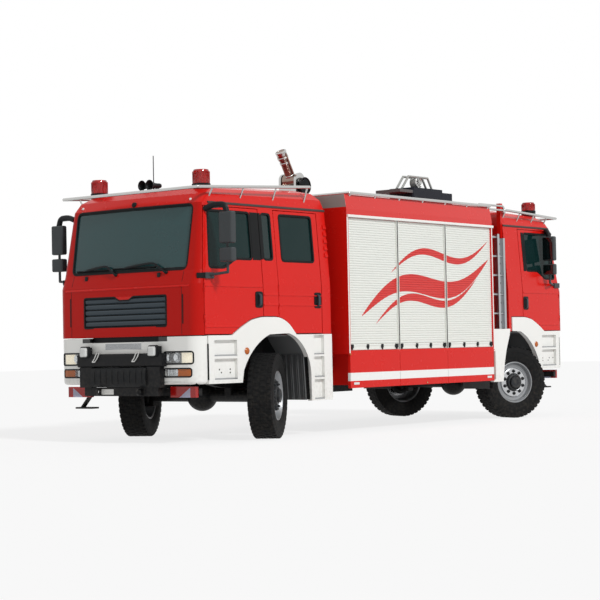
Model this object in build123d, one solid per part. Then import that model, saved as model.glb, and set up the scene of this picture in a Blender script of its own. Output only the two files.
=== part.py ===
"""Fire rescue truck with a cab at each end: a crew cab in front, a day cab turned to the rear.

Millimetres. x runs forward, y to the left, z up from the ground, origin under the middle of the truck.
Cab pieces are drawn once in cab coordinates, where x is measured forward from that cab's own axle.
"""
import os
from math import cos, dist, radians, sin
from build123d import *

# Overall layout
WHEELBASE = 5600
FRONT_REACH = 1500
BUMPER_NOSE = 1370
REAR_REACH = BUMPER_NOSE
FRONT_AXLE_X = (WHEELBASE + REAR_REACH - FRONT_REACH) / 2
REAR_AXLE_X = FRONT_AXLE_X - WHEELBASE
FIT = 0.3

# Wheels and steering
TYRE_R = 515
TYRE_WIDTH = 300
SEAT_R = 272
LIP_R = 296
HUB_R = 118
SPINDLE_R = 45
KINGPIN_R = 24
KINGPIN_Y = 920
WHEEL_OFFSET = 100
STEER_FRONT = 28
STEER_REAR = -25

# Chassis
RAIL_OUT = 430
RAIL_WIDTH = 80
RAIL_IN = RAIL_OUT - RAIL_WIDTH
RAIL_LOW = 700
RAIL_TOP = 950
RAIL_THICK = 12
RAIL_END = 1120
BEAM_R = 75
SHAFT_Z = 560
NOSE_X = 260
SPRING_Y = (445, 525)
SPRING_HALF = 690
SPRING_THICK = 60
SPRING_LOW = 610
SPRING_RISE = 135

# Cabs
WALL = 55
FLOOR_LOW = 1250
FLOOR_THICK = 60
GUTTER_Z = 2780
DOOR_TOP = 2745
CAB_HALF = 1140
CREW_BACK = -1150
DAY_BACK = -240
FRONT_GAP = 8
LATCH_GAP = 12
HINGE_R = 9
HINGE_ROOM = 15
HINGE_LONG = 40
GLASS_DEEP = 14
GLASS_THICK = 6
ARCH_GAP = 10
ARCH_IN = CAB_HALF - WALL
ARCH_OUT = CAB_HALF + 10
STEP_DEEP = 45
GRILLE = ((668, 1362), (-668, 1362), (-668, 1720), (668, 1720))
GRILLE_BACK = 1315
GRILLE_BARS = 5
GRILLE_EDGE = 24

# Equipment body, measured from the front axle
BODY_FRONT = -1340
BODY_REAR = 860 - WHEELBASE
BODY_HALF = 1275
BODY_LOW = 990
BODY_TOP = 2995
BODY_CREASE = BODY_TOP - 185
BODY_SHOULDER = BODY_HALF - 35
BODY_WALL = 50
SHUTTER_LOW = BODY_LOW + 42
SHUTTER_TOP = BODY_TOP - 287
SHUTTER_THICK = 30
SHUTTER_SHARES = (0.322, 0.651)
DIVISIONS = (BODY_FRONT - 15, *(BODY_FRONT + share * (BODY_REAR - BODY_FRONT) for share in SHUTTER_SHARES),
             BODY_REAR + 15)
POST = 40
SKIRT_LOW = 561
SKIRT_THICK = 40

# Water monitor
MONITOR_X = BODY_FRONT - 510
TURRET_LOW = BODY_TOP + 115
PIVOT_Z = TURRET_LOW + 180
PIVOT_R = 22
CHEEK_IN = 110
CHEEK_OUT = 145
CHEEK_R = 95
BARREL_TILT = 59

os.makedirs("parts", exist_ok=True)

FRONT = Pos(FRONT_AXLE_X, 0, 0)
REAR = Pos(REAR_AXLE_X, 0, 0) * Rot(0, 0, 180)


def save(node, shapes):
    """Write every solid in shapes to one file."""
    solids = []
    for shape in shapes:
        solids.extend(shape.solids())
    export_step(solids[0] if len(solids) == 1 else Compound(children=solids), f"parts/{node}.step")
    print(node, len(solids), round(sum(s.volume for s in solids) / 1e6, 2), "litres")


def block(x, y, z):
    """A box from pairs of limits."""
    middle = Pos((x[0] + x[1]) / 2, (y[0] + y[1]) / 2, (z[0] + z[1]) / 2)
    return middle * Box(abs(x[1] - x[0]), abs(y[1] - y[0]), abs(z[1] - z[0]))


def rod(start, end, radius):
    """A round bar between two points."""
    path = Line(start, end)
    return extrude(Plane(origin=start, z_dir=path % 0) * Circle(radius), path.length)


def tube_run(points, radius):
    """Round bars joined end to end, with a ball at each joint."""
    run = rod(points[0], points[1], radius)
    for start, end in zip(points[1:-1], points[2:]):
        run += Pos(*start) * Sphere(radius)
        run += rod(start, end, radius)
    return run


def side_prism(sketch, y_from, y_to):
    """Extrude a sketch of (x, z) across y."""
    face = Plane((0, y_from, 0), x_dir=(1, 0, 0), z_dir=(0, -1, 0)) * sketch
    return extrude(face, y_to - y_from, dir=(0, 1, 0))


def front_prism(sketch, x_from, x_to):
    """Extrude a sketch of (y, z) along x."""
    face = Plane((x_from, 0, 0), x_dir=(0, 1, 0), z_dir=(1, 0, 0)) * sketch
    return extrude(face, x_to - x_from, dir=(1, 0, 0))


def outline(points, radius=0, soft=None):
    """A closed sketch through points, with its corners rounded, or only the soft ones."""
    sketch = Polygon(*points, align=None)
    corners = sketch.vertices()
    if soft:
        corners = [corner for corner in corners if any(dist((corner.X, corner.Y), spot) < FIT for spot in soft)]
    return fillet(corners, radius) if radius else sketch


def both(shape):
    """The left piece and its mirror image on the right."""
    return [shape, mirror(shape, Plane.XZ)]


def at_ends(shape):
    """The piece on the front cab and the same piece on the rear cab."""
    return [FRONT * shape, REAR * shape]


# Cab body: level sections joined by ruled walls
CAB_ROWS = (
    # z, half width, nose x, bow, corner radius, back drawn in, tilt
    (1250, 1140, 1350, 25, 140, 0, 0.0),
    (1840, 1140, 1346, 28, 130, 0, 0.0),
    (2000, 1128, 1300, 38, 110, 0, 0.0),
    (2780, 1066, 1182, 46, 90, 0, 0.0),
    (2890, 1022, 1120, 46, 100, 25, 0.7),
    (2960, 930, 1020, 46, 120, 90, 1.2),
    (2995, 760, 850, 46, 140, 220, 1.5),
)


def plan_face(half, nose, bow, corner, back):
    """Plan of a cab level: straight sides, round corners, bowed front."""
    edge = nose - bow
    turn = edge - corner
    flat = half - corner
    sides = Line((turn, half), (back, half)), Line((turn, -half), (back, -half))
    corners = TangentArc((turn, half), (edge, flat), tangent=(1, 0)), \
        TangentArc((turn, -half), (edge, -flat), tangent=(1, 0))
    bowed = ThreePointArc((edge, flat), (nose, 0), (edge, -flat))
    return make_face([*sides, *corners, bowed, Line((back, half), (back, -half))])


def cab_solid(back, inset):
    """The cab's outside drawn in by inset; below the gutter the levels keep their height."""
    levels = []
    for z, half, nose, bow, corner, drawn, tilt in CAB_ROWS:
        drop = inset if z > GUTTER_Z else 0
        face = plan_face(half - inset, nose - inset, bow, corner - inset, back + drawn + inset)
        level = Pos(0, 0, z - drop) * face
        levels.append(level.rotate(Axis((900, 0, z - drop), (0, 1, 0)), tilt))
    return loft(levels, ruled=True)


# Side openings of the cabs, cab coordinates
DOORS = {
    # front edge x, front edge x at the top, latch edge x, hinge heights
    "front": (1210, 1108, 150, (1400, 1750)),
    "crew": (-130, -130, -980, (1500, 1750)),
}
PANES = {
    "front": ((1098, 2025), (830, 2025), (620, 2135), (320, 2135), (320, 2690), (1056, 2690)),
    "crew": ((-235, 2130), (-860, 2130), (-860, 2690), (-235, 2690)),
    "quarter": ((105, 2140), (-65, 2140), (-65, 2690), (105, 2690)),
}
SCREEN = ((930, 2010), (-930, 2010), (-940, 2765), (940, 2765))
BAND = ((740, 1244), (578, 1335), (391, 1421), (200, 1455))
CREW_BAND_BACK = ((-125, 1455), (-300, 1390), (-450, 1244))
DAY_BAND_BACK = ((-165, 1455), (-165, 1200))
BAND_CURVE = (*BAND[1:], *CREW_BAND_BACK[:-1])
BAND_R = 440


def door_outline(kind, gap=0, latch_gap=0):
    front, top, latch, _ = DOORS[kind]
    low = FLOOR_LOW + gap if gap else FLOOR_LOW - 50
    corners = ((front - gap, low), (front - gap, 1950), (top - gap, DOOR_TOP - gap))
    return outline((*corners, (latch + latch_gap, DOOR_TOP - gap), (latch + latch_gap, low)))


def arch_opening():
    """The hole in the wheel arch, open at the bottom."""
    edges = (
        Line((571, 300), (571, 690)),
        Line((571, 690), (545, 830)),
        ThreePointArc((545, 830), (345, 1085), (60, 1248)),
        Line((60, 1248), (-300, 1260)),
        ThreePointArc((-300, 1260), (-590, 1090), (-725, 720)),
        Line((-725, 720), (-731, 300)),
        Line((-731, 300), (571, 300)),
    )
    return make_face(edges)


def door_axis(kind):
    return DOORS[kind][0] - FRONT_GAP + 2


def hinge_barrel(kind, z):
    return Pos(door_axis(kind), CAB_HALF, z + HINGE_LONG / 2) * Cylinder(HINGE_R, HINGE_LONG)


def hinge_leaf(kind, z, reach):
    x = door_axis(kind)
    return block((x, x + reach), (CAB_HALF - HINGE_R, CAB_HALF - 1), (z, z + HINGE_LONG))


def cab(back, kinds, band_back):
    """All fixed and hung panels of one cab, in cab coordinates."""
    outer = cab_solid(back, 0)
    inner = cab_solid(back, WALL)
    floor_hole = block((back + WALL, 1000), (-ARCH_IN, ARCH_IN), (FLOOR_LOW - 10, FLOOR_LOW + 10))
    shell = outer - inner - floor_hole
    glass = cab_solid(back, GLASS_DEEP) - cab_solid(back, GLASS_DEEP + GLASS_THICK)
    reach = (1000, 1400)
    band = outline((*BAND, *band_back), BAND_R, BAND_CURVE)
    band_room = side_prism(offset(band, ARCH_GAP), ARCH_IN - 20, ARCH_OUT + 50)
    pieces = {"outer": outer, "doors": {}, "panes": {}, "fixed_panes": []}
    fixed = shell
    knuckles = {kind: [] for kind in DOORS}
    for kind in kinds:
        opening = side_prism(door_outline(kind), *reach)
        pane = side_prism(outline(PANES[kind], 35), *reach)
        leaf = side_prism(door_outline(kind, FRONT_GAP, LATCH_GAP), *reach)
        door = (shell & leaf) - pane - band_room
        for hole in both(opening):
            fixed -= hole
        for z in DOORS[kind][3]:
            room = Pos(door_axis(kind), CAB_HALF, z + HINGE_LONG + FIT / 2)
            room *= Cylinder(HINGE_ROOM, 2 * HINGE_LONG + 12)
            door -= room
            door += hinge_barrel(kind, z + HINGE_LONG + FIT)
            door += hinge_leaf(kind, z + HINGE_LONG + FIT, -HINGE_ROOM - 5)
            knuckles[kind].append(hinge_barrel(kind, z) + hinge_leaf(kind, z, HINGE_ROOM + 5))
            for notch in both(room):
                fixed -= notch
        pieces["doors"][kind] = door
        pieces["panes"][kind] = glass & pane
    for room in both(band_room):
        fixed -= room
    if "crew" in kinds:
        quarter = side_prism(outline(PANES["quarter"], 35), *reach)
        for hole in both(quarter):
            fixed -= hole
            pieces["fixed_panes"].append(glass & hole)
    screen = front_prism(outline(SCREEN, 60), 1050, 1400)
    fixed -= screen
    pieces["fixed_panes"].append(glass & screen)
    fixed -= front_prism(outline(GRILLE), GRILLE_BACK, 1400)
    front, top, _, _ = DOORS["front"]
    ahead = ((front, 1150), (front, 1950), (top, DOOR_TOP), (top, GUTTER_Z), (1400, GUTTER_Z), (1400, 1150))
    above = block((-1300, 1400), (-1200, 1200), (GUTTER_Z, 3100))
    nose = side_prism(outline(ahead), -1200, 1200)
    rear = block((back - 10, back + WALL), (-1200, 1200), (1150, GUTTER_Z))
    pieces["roof"] = fixed & above
    pieces["front"] = fixed & nose
    pieces["back"] = fixed & rear
    pieces["sides"] = fixed - above - nose - rear
    for kind, carrier in (("front", "front"), ("crew", "sides")):
        for knuckle in knuckles[kind]:
            for joint in both(knuckle):
                pieces[carrier] += joint
    floor = ((back + WALL, ARCH_IN), (1150, ARCH_IN), (1255, 970), (1255, -970), (1150, -ARCH_IN),
             (back + WALL, -ARCH_IN))
    slab = Pos(0, 0, FLOOR_LOW) * extrude(outline(floor), FLOOR_THICK, dir=(0, 0, 1))
    pieces["floor"] = slab
    return pieces


crew = cab(CREW_BACK, ("front", "crew"), CREW_BAND_BACK)
day = cab(DAY_BACK, ("front",), DAY_BAND_BACK)

# Red corner posts that carry the rear cab's roof rails
POST_SIDE = ((DAY_BACK - 22, 2600), (DAY_BACK, 2600), (DAY_BACK, GUTTER_Z), (DAY_BACK + 95, GUTTER_Z),
             (DAY_BACK + 35, 3100), (DAY_BACK - 22, 3100))
POST_Y = (985, 1050)
rail_posts = both(side_prism(outline(POST_SIDE), *POST_Y) - day["outer"])
for side in rail_posts:
    day["back"] += side

save("cab_floors", [FRONT * crew["floor"], REAR * day["floor"]])
save("cab_fronts", [FRONT * crew["front"], REAR * day["front"]])
save("cab_roofs", [FRONT * crew["roof"], REAR * day["roof"]])
save("cab_backs", [FRONT * crew["back"], REAR * day["back"]])
save("cab_side_panels", [FRONT * crew["sides"], REAR * day["sides"]])
save("fixed_glass", [FRONT * p for p in crew["fixed_panes"]] + [REAR * p for p in day["fixed_panes"]])

# Mirrors, one on each driver's door; those of the rear cab are folded back beside the door
MIRROR_SPOTS = {"front": (1058, 1376), "rear": (792, 1232)}
MIRROR_HEADS = (
    # low, high
    (2290, 2650),
    (2080, 2240),
)


def mirror_unit(x, y):
    arm = tube_run(((1085, 1050, 2715), (x, y, 2715), (x, y, 1960), (1130, 1100, 1930)), 16)
    for low, high in MIRROR_HEADS:
        head = block((x - 45, x + 45), (y - 95, y + 100), (low, high))
        arm += fillet(head.edges(), 20)
    arm += block((1050, 1195), (1090, 1160), (1895, 1965))
    return arm - crew["outer"]


HUNG = (
    # name, place, cab, kind
    ("front", FRONT, crew, "front"),
    ("crew", FRONT, crew, "crew"),
    ("rear", REAR, day, "front"),
)
for name, place, source, kind in HUNG:
    door_pair = both(source["doors"][kind])
    pane_pair = both(source["panes"][kind])
    # On the turned rear cab its left side is the truck's right side
    sides = ("right", "left") if place is REAR else ("left", "right")
    for index, side in enumerate(sides):
        save(f"{name}_door_{side}", [place * door_pair[index]])
        save(f"{name}_window_{side}", [place * pane_pair[index]])
        if name in MIRROR_SPOTS:
            save(f"{name}_mirror_{side}", [place * both(mirror_unit(*MIRROR_SPOTS[name]))[index]])

# Grilles: a frame with level bars in the front panel's recess
grille = front_prism(outline(GRILLE), GRILLE_BACK, 1400) & crew["outer"]
low, high = GRILLE[0][1], GRILLE[2][1]
pitch = (high - low - GRILLE_EDGE) / GRILLE_BARS
slot_half = GRILLE[0][0] - GRILLE_EDGE
for bar in range(GRILLE_BARS):
    slot_low = low + GRILLE_EDGE + bar * pitch
    grille -= block((GRILLE_BACK + 8, 1400), (-slot_half, slot_half), (slot_low, slot_low + pitch - GRILLE_EDGE))
save("grilles", at_ends(grille))

# Bumpers with lamp openings, and the steps that hang from them
BUMPER_INNER = 1290
BUMPER_LOW = 690
BUMPER_TOP = 1186
SHOULDER_TOP = 1240
BUMPER_BACK = 1165
LAMPS = (
    # y inner, y outer, z low, z high
    (640, 1050, 930, 1062),
    (640, 1030, 782, 870),
)
bumper_plan = plan_face(1135, BUMPER_NOSE, 30, 170, BUMPER_BACK)
lens_plan = plan_face(1131, BUMPER_NOSE - 4, 30, 166, BUMPER_BACK)
bumper = Pos(0, 0, BUMPER_LOW) * extrude(bumper_plan, SHOULDER_TOP - BUMPER_LOW)
bumper = fillet(bumper.edges().group_by(Axis.Z)[0], 40)
bumper -= block((1100, BUMPER_INNER), (-1075, 1075), (600, 1300))
bumper -= block((1100, 1400), (-560, 560), (BUMPER_TOP, 1300))
lens_body = Pos(0, 0, BUMPER_LOW) * extrude(lens_plan, SHOULDER_TOP - BUMPER_LOW)
lenses = []
for inner_y, outer_y, lamp_low, lamp_high in LAMPS:
    for side in both(block((BUMPER_INNER, 1400), (inner_y, outer_y), (lamp_low, lamp_high))):
        bumper -= side
        lenses.append(lens_body & side)
END_BEAM_X = (1160, 1220)
END_BEAM_Z = (560, 640)
STEP_Z = 400
STEP_TREAD = 20
STEP_STRUT = ((-882, STEP_Z + STEP_TREAD), (-852, STEP_Z + STEP_TREAD), (-717, END_BEAM_Z[0]), (-747, END_BEAM_Z[0]))
step = block((END_BEAM_X[0] - 30, END_BEAM_X[1] + 30), (-940, -660), (STEP_Z, STEP_Z + STEP_TREAD))
step += front_prism(outline(STEP_STRUT), *END_BEAM_X)
save("bumpers", at_ends(bumper))
save("hanging_steps", at_ends(step))
save("headlamps", [piece for lens in lenses for piece in at_ends(lens)])

tail = []
for side in both(block((1220, 1270), (650, 1035), (540, 665))):
    tail.extend(at_ends(side))
save("tail_lamps", tail)

# Towing eyes, and the winch guard on the front bumper
EYE_R = 22
EYE_Y = 330
EYE_Z = 610
EYE_BOSS = 40
EYE_THICK = 30


def towing_eye(root, reach):
    """A lug from root to reach with a bore for a shackle pin."""
    half = EYE_THICK / 2
    lug = block((root, reach), (EYE_Y - half, EYE_Y + half), (EYE_Z - EYE_BOSS, EYE_Z + EYE_BOSS))
    lug += Pos(reach, EYE_Y, EYE_Z) * Rot(90, 0, 0) * Cylinder(EYE_BOSS, EYE_THICK)
    return lug - Pos(reach, EYE_Y, EYE_Z) * Rot(90, 0, 0) * Cylinder(EYE_R, 2 * EYE_THICK)


GUARD_FACE = 1450
GUARD_FOOT = 1420
DRUM_SPOT = (1424, 0, 780)
GUARD_LEVELS = (560, 660, 900, 1055)
foot_low, foot_top, beam_low, beam_top = GUARD_LEVELS
beam = block((BUMPER_NOSE, GUARD_FACE), (-690, 690), (beam_low, beam_top))
guard = [fillet(beam.edges().filter_by(Axis.Y).group_by(Axis.X)[-1], 25),
         block((BUMPER_NOSE, GUARD_FOOT), (-600, 600), (foot_low, foot_top)),
         Pos(*DRUM_SPOT) * Rot(90, 0, 0) * Cylinder(50, 900)]
guard += both(block((BUMPER_NOSE, GUARD_FACE), (450, 650), (foot_top, beam_low)))
guard += both(block((1385, GUARD_FACE), (500, 630), (beam_top, beam_top + 80)))
guard += both(towing_eye(GUARD_FOOT, FRONT_REACH - EYE_BOSS))
save("winch_guard", [FRONT * piece for piece in guard])

# White wheel arches and the body's rear fairings
arch_hole = arch_opening()
front_foot = ((0, 690), (1160, 690), (1160, 1244))
crew_foot = ((CREW_BACK, 1244), (CREW_BACK, 430), (0, 430))
crew_arch = outline((*front_foot, *BAND, *CREW_BAND_BACK, *crew_foot), BAND_R, BAND_CURVE)
day_arch = outline((*front_foot, *BAND, *DAY_BAND_BACK), BAND_R, BAND_CURVE)
ENTRY_STEPS = (
    # rear x, front x, low z, high z of each recess
    (660, 1060, 735, 975),
    (660, 1060, 1005, 1190),
)
CREW_STEPS = (
    (-990, -790, 445, 690),
    (-990, -790, 715, 970),
    (-990, -790, 995, 1235),
)
arches = []
for place, panel, steps in ((FRONT, crew_arch, ENTRY_STEPS + CREW_STEPS), (REAR, day_arch, ENTRY_STEPS)):
    arch = side_prism(panel - arch_hole, ARCH_IN, ARCH_OUT)
    for back, front, step_low, step_high in steps:
        arch -= block((back, front), (ARCH_OUT - STEP_DEEP, ARCH_OUT + 1), (step_low, step_high))
    for side in both(arch):
        arches.append(place * side)
FAIRING_FRONT = WHEELBASE + BODY_REAR
FAIRING_CURVE = ((-560, 800), (-500, 1000))
fairing = outline(((-FAIRING_FRONT, 540), (-600, 540), *FAIRING_CURVE, (-409, 1195), (-385, 1285),
                   (-FAIRING_FRONT, 1285)), BAND_R, FAIRING_CURVE)
for side in both(side_prism(fairing, BODY_HALF - 80, BODY_HALF - 25)):
    arches.append(REAR * side)
save("wheel_arches", arches)

# Black wheel liners: a bent sheet over each tyre
LINER = ((625, 700), (560, 1000), (330, 1240), (-480, 1240), (-690, 1000), (-715, 440))
LINER_SHARE = 0.98
liner_inside = [(x * LINER_SHARE, TYRE_R + (z - TYRE_R) * LINER_SHARE) for x, z in LINER]
liners = []
for side in both(side_prism(outline((*LINER, *reversed(liner_inside))), 640, ARCH_IN)):
    liners.extend(at_ends(side))
save("wheel_liners", liners)

# Seats, dashboards and steering wheels
SEAT_ROWS = {
    # seat front x and the seats' middles
    "front": (560, (-680, 0, 680)),
    "crew": (-460, (-750, -250, 250, 750)),
    "day": (560, (-680, 680)),
}
FLOOR_TOP = FLOOR_LOW + FLOOR_THICK


def seat(front_x, y):
    base = block((front_x - 440, front_x - 60), (y - 150, y + 150), (FLOOR_TOP, 1700))
    cushion = fillet(block((front_x - 500, front_x), (y - 235, y + 235), (1700, 1840)).edges(), 40)
    rest = fillet(block((front_x - 620, front_x - 490), (y - 225, y + 225), (1720, 2420)).edges(), 40)
    return base + cushion + rest


interior = []
for place, rows in ((FRONT, ("front", "crew")), (REAR, ("day",))):
    for row in rows:
        front_x, middles = SEAT_ROWS[row]
        for y in middles:
            interior.append(place * seat(front_x, y))
DASH = ((1000, 1500), (1225, 1500), (1225, 1900), (1000, 1900), (960, 1780))
dash = side_prism(outline(DASH), -1040, 1040)
for leg_y in (-1040, 940):
    dash += block((1080, 1220), (leg_y, leg_y + 100), (FLOOR_TOP, 1520))
dash += rod((1010, 680, 1800), (850, 680, 1960), 30)
dash += Pos(850, 680, 1960) * Rot(0, -45, 0) * Torus(215, 16)
for spoke in (0, 120, 240):
    reach = Vector(0, 215, 0).rotate(Axis.Z, spoke)
    tip = (Pos(850, 680, 1960) * Rot(0, -45, 0) * Pos(*reach)).position
    dash += rod((850, 680, 1960), tuple(tip), 11)
save("cab_interiors", interior + at_ends(dash))

# Roof rails around both cabs and the body
RAIL_R = 19
CAB_LOOP = (1236, 1095, 2945)
CAB_LOOP_POSTS = (0.02, 0.35, 0.68, 0.98)


def cab_rail(back, rise, cab_back, end_y):
    """A loop that ends in short arms at the back, rise higher, with posts down to the roof's edge."""
    front_x, half, z = CAB_LOOP
    roof = cab_solid(cab_back, -FIT)
    run = tube_run(((back, end_y, z + rise), (back, half, z + rise), (front_x, half, z), (front_x, -half, z),
                    (back, -half, z + rise), (back, -end_y, z + rise)), RAIL_R)
    for share in CAB_LOOP_POSTS:
        x = back + (front_x - 230 - back) * share
        post_z = z + rise * (front_x - x) / (front_x - back)
        for y in (1, -1):
            run += rod((x, y * half, post_z), (x, y * 1010, 2830), 11) - roof
    return run


crew_rail = cab_rail(-830, 115, CREW_BACK, CAB_LOOP[1] - 60)
day_rail = cab_rail(-215, 60, DAY_BACK, POST_Y[1])
for side in rail_posts:
    day_rail -= side
LOOP_HALF = BODY_HALF - 13
LOOP_Z = BODY_TOP + RAIL_R + 1
LOOP_POSTS = 7
loop = ((BODY_FRONT - 90, -LOOP_HALF), (BODY_FRONT - 90, LOOP_HALF), (BODY_REAR + 20, LOOP_HALF),
        (BODY_REAR + 20, -LOOP_HALF))
body_rail = tube_run([(x, y, LOOP_Z) for x, y in (*loop, loop[0])], RAIL_R)
for post in range(LOOP_POSTS):
    x = BODY_FRONT - 120 + post * (BODY_REAR - BODY_FRONT + 170) / (LOOP_POSTS - 1)
    for y in (1, -1):
        body_rail += rod((x, y * LOOP_HALF, LOOP_Z), (x, y * (BODY_SHOULDER - 15), BODY_TOP - 30), 12)
section = ((-BODY_HALF, BODY_LOW), (BODY_HALF, BODY_LOW), (BODY_HALF, BODY_CREASE), (BODY_SHOULDER, BODY_TOP),
           (-BODY_SHOULDER, BODY_TOP), (-BODY_HALF, BODY_CREASE))
hull = front_prism(outline(section), BODY_REAR, BODY_FRONT)
save("roof_rails", [FRONT * crew_rail, REAR * day_rail, FRONT * (body_rail - hull)])

# Beacons, horns and antenna
roof_signals = []
for place, source in ((FRONT, crew), (REAR, day)):
    for y in (836, -836):
        foot = rod((880, y, 2900), (880, y, 3005), 92)
        foot += Pos(880, y, 3005) * Cone(104, 90, 180, align=(Align.CENTER, Align.CENTER, Align.MIN))
        roof_signals.append(place * (foot - source["outer"]))
horns = block((760, 900), (-90, 90), (2900, 3020))
for y in (-60, 60):
    horns += Pos(850, y, 3055) * Rot(0, 90, 0) * Cylinder(52, 180)
horns += rod((800, 0, 3000), (800, 0, 3422), 6)
roof_signals.append(FRONT * (horns - crew["outer"]))
save("roof_signals", roof_signals)

# Equipment body, hollowed out of its hull
inside = (BODY_REAR + BODY_WALL, BODY_FRONT - BODY_WALL)
hollow = block(inside, (-BODY_HALF + BODY_WALL, BODY_HALF - BODY_WALL), (SHUTTER_LOW, SHUTTER_TOP))
for left, right in zip(DIVISIONS[1:], DIVISIONS[:-1]):
    span = (left + POST / 2, right - POST / 2)
    hollow += block(span, (-BODY_HALF - 10, BODY_HALF + 10), (SHUTTER_LOW, SHUTTER_TOP))
hollow += block(inside, (-BODY_SHOULDER + BODY_WALL, BODY_SHOULDER - BODY_WALL), (SHUTTER_TOP, BODY_TOP - BODY_WALL))
body = hull - hollow
around = ((BODY_REAR - 1, BODY_FRONT + 1), (-BODY_HALF - 1, BODY_HALF + 1))
floor_room = block(*around, (BODY_LOW - 1, SHUTTER_LOW))
roof_room = block(*around, (SHUTTER_TOP, BODY_TOP + 1))
save("body_floor", [FRONT * (body & floor_room)])
save("body_roof", [FRONT * (body & roof_room)])
walls = body - floor_room - roof_room
for division in DIVISIONS[1:-1]:
    walls += block((division - POST / 2, division + POST / 2), (-BODY_HALF + 20, BODY_HALF - 20),
                   (SHUTTER_LOW, SHUTTER_TOP))
save("body_walls", [FRONT * walls])
shutters = []
skirts = []
for left, right in zip(DIVISIONS[1:], DIVISIONS[:-1]):
    span = (left + POST / 2, right - POST / 2)
    curtain = block(span, (BODY_HALF - SHUTTER_THICK - 15, BODY_HALF - 15), (SHUTTER_LOW, SHUTTER_TOP))
    shutters.extend(FRONT * side for side in both(curtain))
    panel = block((left + 3, right - 3), (BODY_HALF - SKIRT_THICK, BODY_HALF), (SKIRT_LOW, BODY_LOW))
    skirts.extend(FRONT * side for side in both(panel))
save("shutters", shutters)
save("side_skirts", skirts)
LOCKERS = (
    # rear x, front x, low z
    (-2700, BODY_FRONT - 60, 600),
    (BODY_REAR + 60, -3200, 600),
)
lockers = []
for left, right, low in LOCKERS:
    for side in both(block((left, right), (RAIL_OUT + 90, BODY_HALF - SKIRT_THICK), (low, BODY_LOW))):
        lockers.append(FRONT * side)
save("underbody_lockers", lockers)

# Ladder in the gap behind the body
LADDER_Y = BODY_HALF - 125
LADDER_LOW = 1285
LADDER_RAILS = (
    # x and top of each upright
    (BODY_REAR - 60, BODY_TOP - 355),
    (BODY_REAR - 320, BODY_TOP - 355),
    (BODY_REAR - 468, BODY_TOP - 410),
)
RUNG_LOW = 1507
RUNG_PITCH = 272
RUNGS = 5
ladder = block((LADDER_RAILS[0][0], BODY_REAR), (LADDER_Y - 15, LADDER_Y + 15), (1600, 1640))
ladder += block((LADDER_RAILS[0][0], BODY_REAR), (LADDER_Y - 15, LADDER_Y + 15), (2500, 2540))
for x, top in LADDER_RAILS:
    ladder += block((x - 25, x + 25), (LADDER_Y - 30, LADDER_Y + 30), (LADDER_LOW, top))
for rung in range(RUNGS):
    z = RUNG_LOW + rung * RUNG_PITCH
    last = LADDER_RAILS[1 if rung == RUNGS - 1 else 2][0]
    ladder += rod((LADDER_RAILS[0][0], LADDER_Y, z), (last, LADDER_Y, z), 16)
save("ladder", [FRONT * ladder])

# Roof light box with a caged lamp
LIGHT_X = (BODY_REAR + 90, BODY_REAR + 1065)
LIGHT_Y = (270, 680)
LIGHT_TOP = BODY_TOP + 270
LOW_END = 227
LOW_TOP = LIGHT_TOP - 40
PLATE_LONG = 310
CAGE_Y = (430, 520)
CAGE_R = 16
CAGE_SIDE = (
    # x and z along one frame of the cage
    (LIGHT_X[0] + LOW_END, LOW_TOP - 15),
    (LIGHT_X[0] + 378, BODY_TOP + 440),
    (LIGHT_X[1] - 128, BODY_TOP + 440),
    (LIGHT_X[1] + 80, LOW_TOP - 15),
)
LAMP_SPOT = (LIGHT_X[0] + 610, sum(CAGE_Y) / 2, BODY_TOP + 365)
tall_end = block((LIGHT_X[0] + LOW_END, LIGHT_X[1]), LIGHT_Y, (BODY_TOP, LIGHT_TOP))
light_box = fillet(tall_end.edges().filter_by(Axis.Z), 30)
light_box += block((LIGHT_X[0], LIGHT_X[0] + LOW_END + 60), LIGHT_Y, (BODY_TOP, LOW_TOP))
light_box += block((LIGHT_X[1] - 60, LIGHT_X[1] + PLATE_LONG), LIGHT_Y, (LOW_TOP - 40, LOW_TOP))
for y in CAGE_Y:
    light_box += tube_run([(x, y, z) for x, z in CAGE_SIDE], CAGE_R)
light_box += Pos(*LAMP_SPOT) * Rot(90, 0, 0) * Cylinder(75, 100)
light_box += rod((*LAMP_SPOT[:2], LIGHT_TOP - 15), LAMP_SPOT, 25)
save("roof_light_box", [FRONT * light_box])

# Water monitor: base, turning turret, tilting barrel
base = Pos(MONITOR_X, 0, BODY_TOP + 15) * Cylinder(150, 30)
base += Pos(MONITOR_X, 0, (BODY_TOP + TURRET_LOW) / 2) * Cylinder(75, TURRET_LOW - BODY_TOP)
save("monitor_base", [FRONT * base])
CHEEK_X = (MONITOR_X - CHEEK_R, MONITOR_X + CHEEK_R)
cross = Pos(MONITOR_X, 0, PIVOT_Z) * Rot(90, 0, 0)
turret = Pos(MONITOR_X, 0, TURRET_LOW + FIT + 30) * Cylinder(125, 60)
turret += block(CHEEK_X, (-CHEEK_OUT, CHEEK_OUT), (TURRET_LOW + 20, TURRET_LOW + 75))
for side in both(block(CHEEK_X, (CHEEK_IN, CHEEK_OUT), (TURRET_LOW + 20, PIVOT_Z))):
    turret += side
turret += cross * (Cylinder(CHEEK_R, 2 * CHEEK_OUT) - Cylinder(CHEEK_R + 1, 2 * CHEEK_IN))
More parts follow.
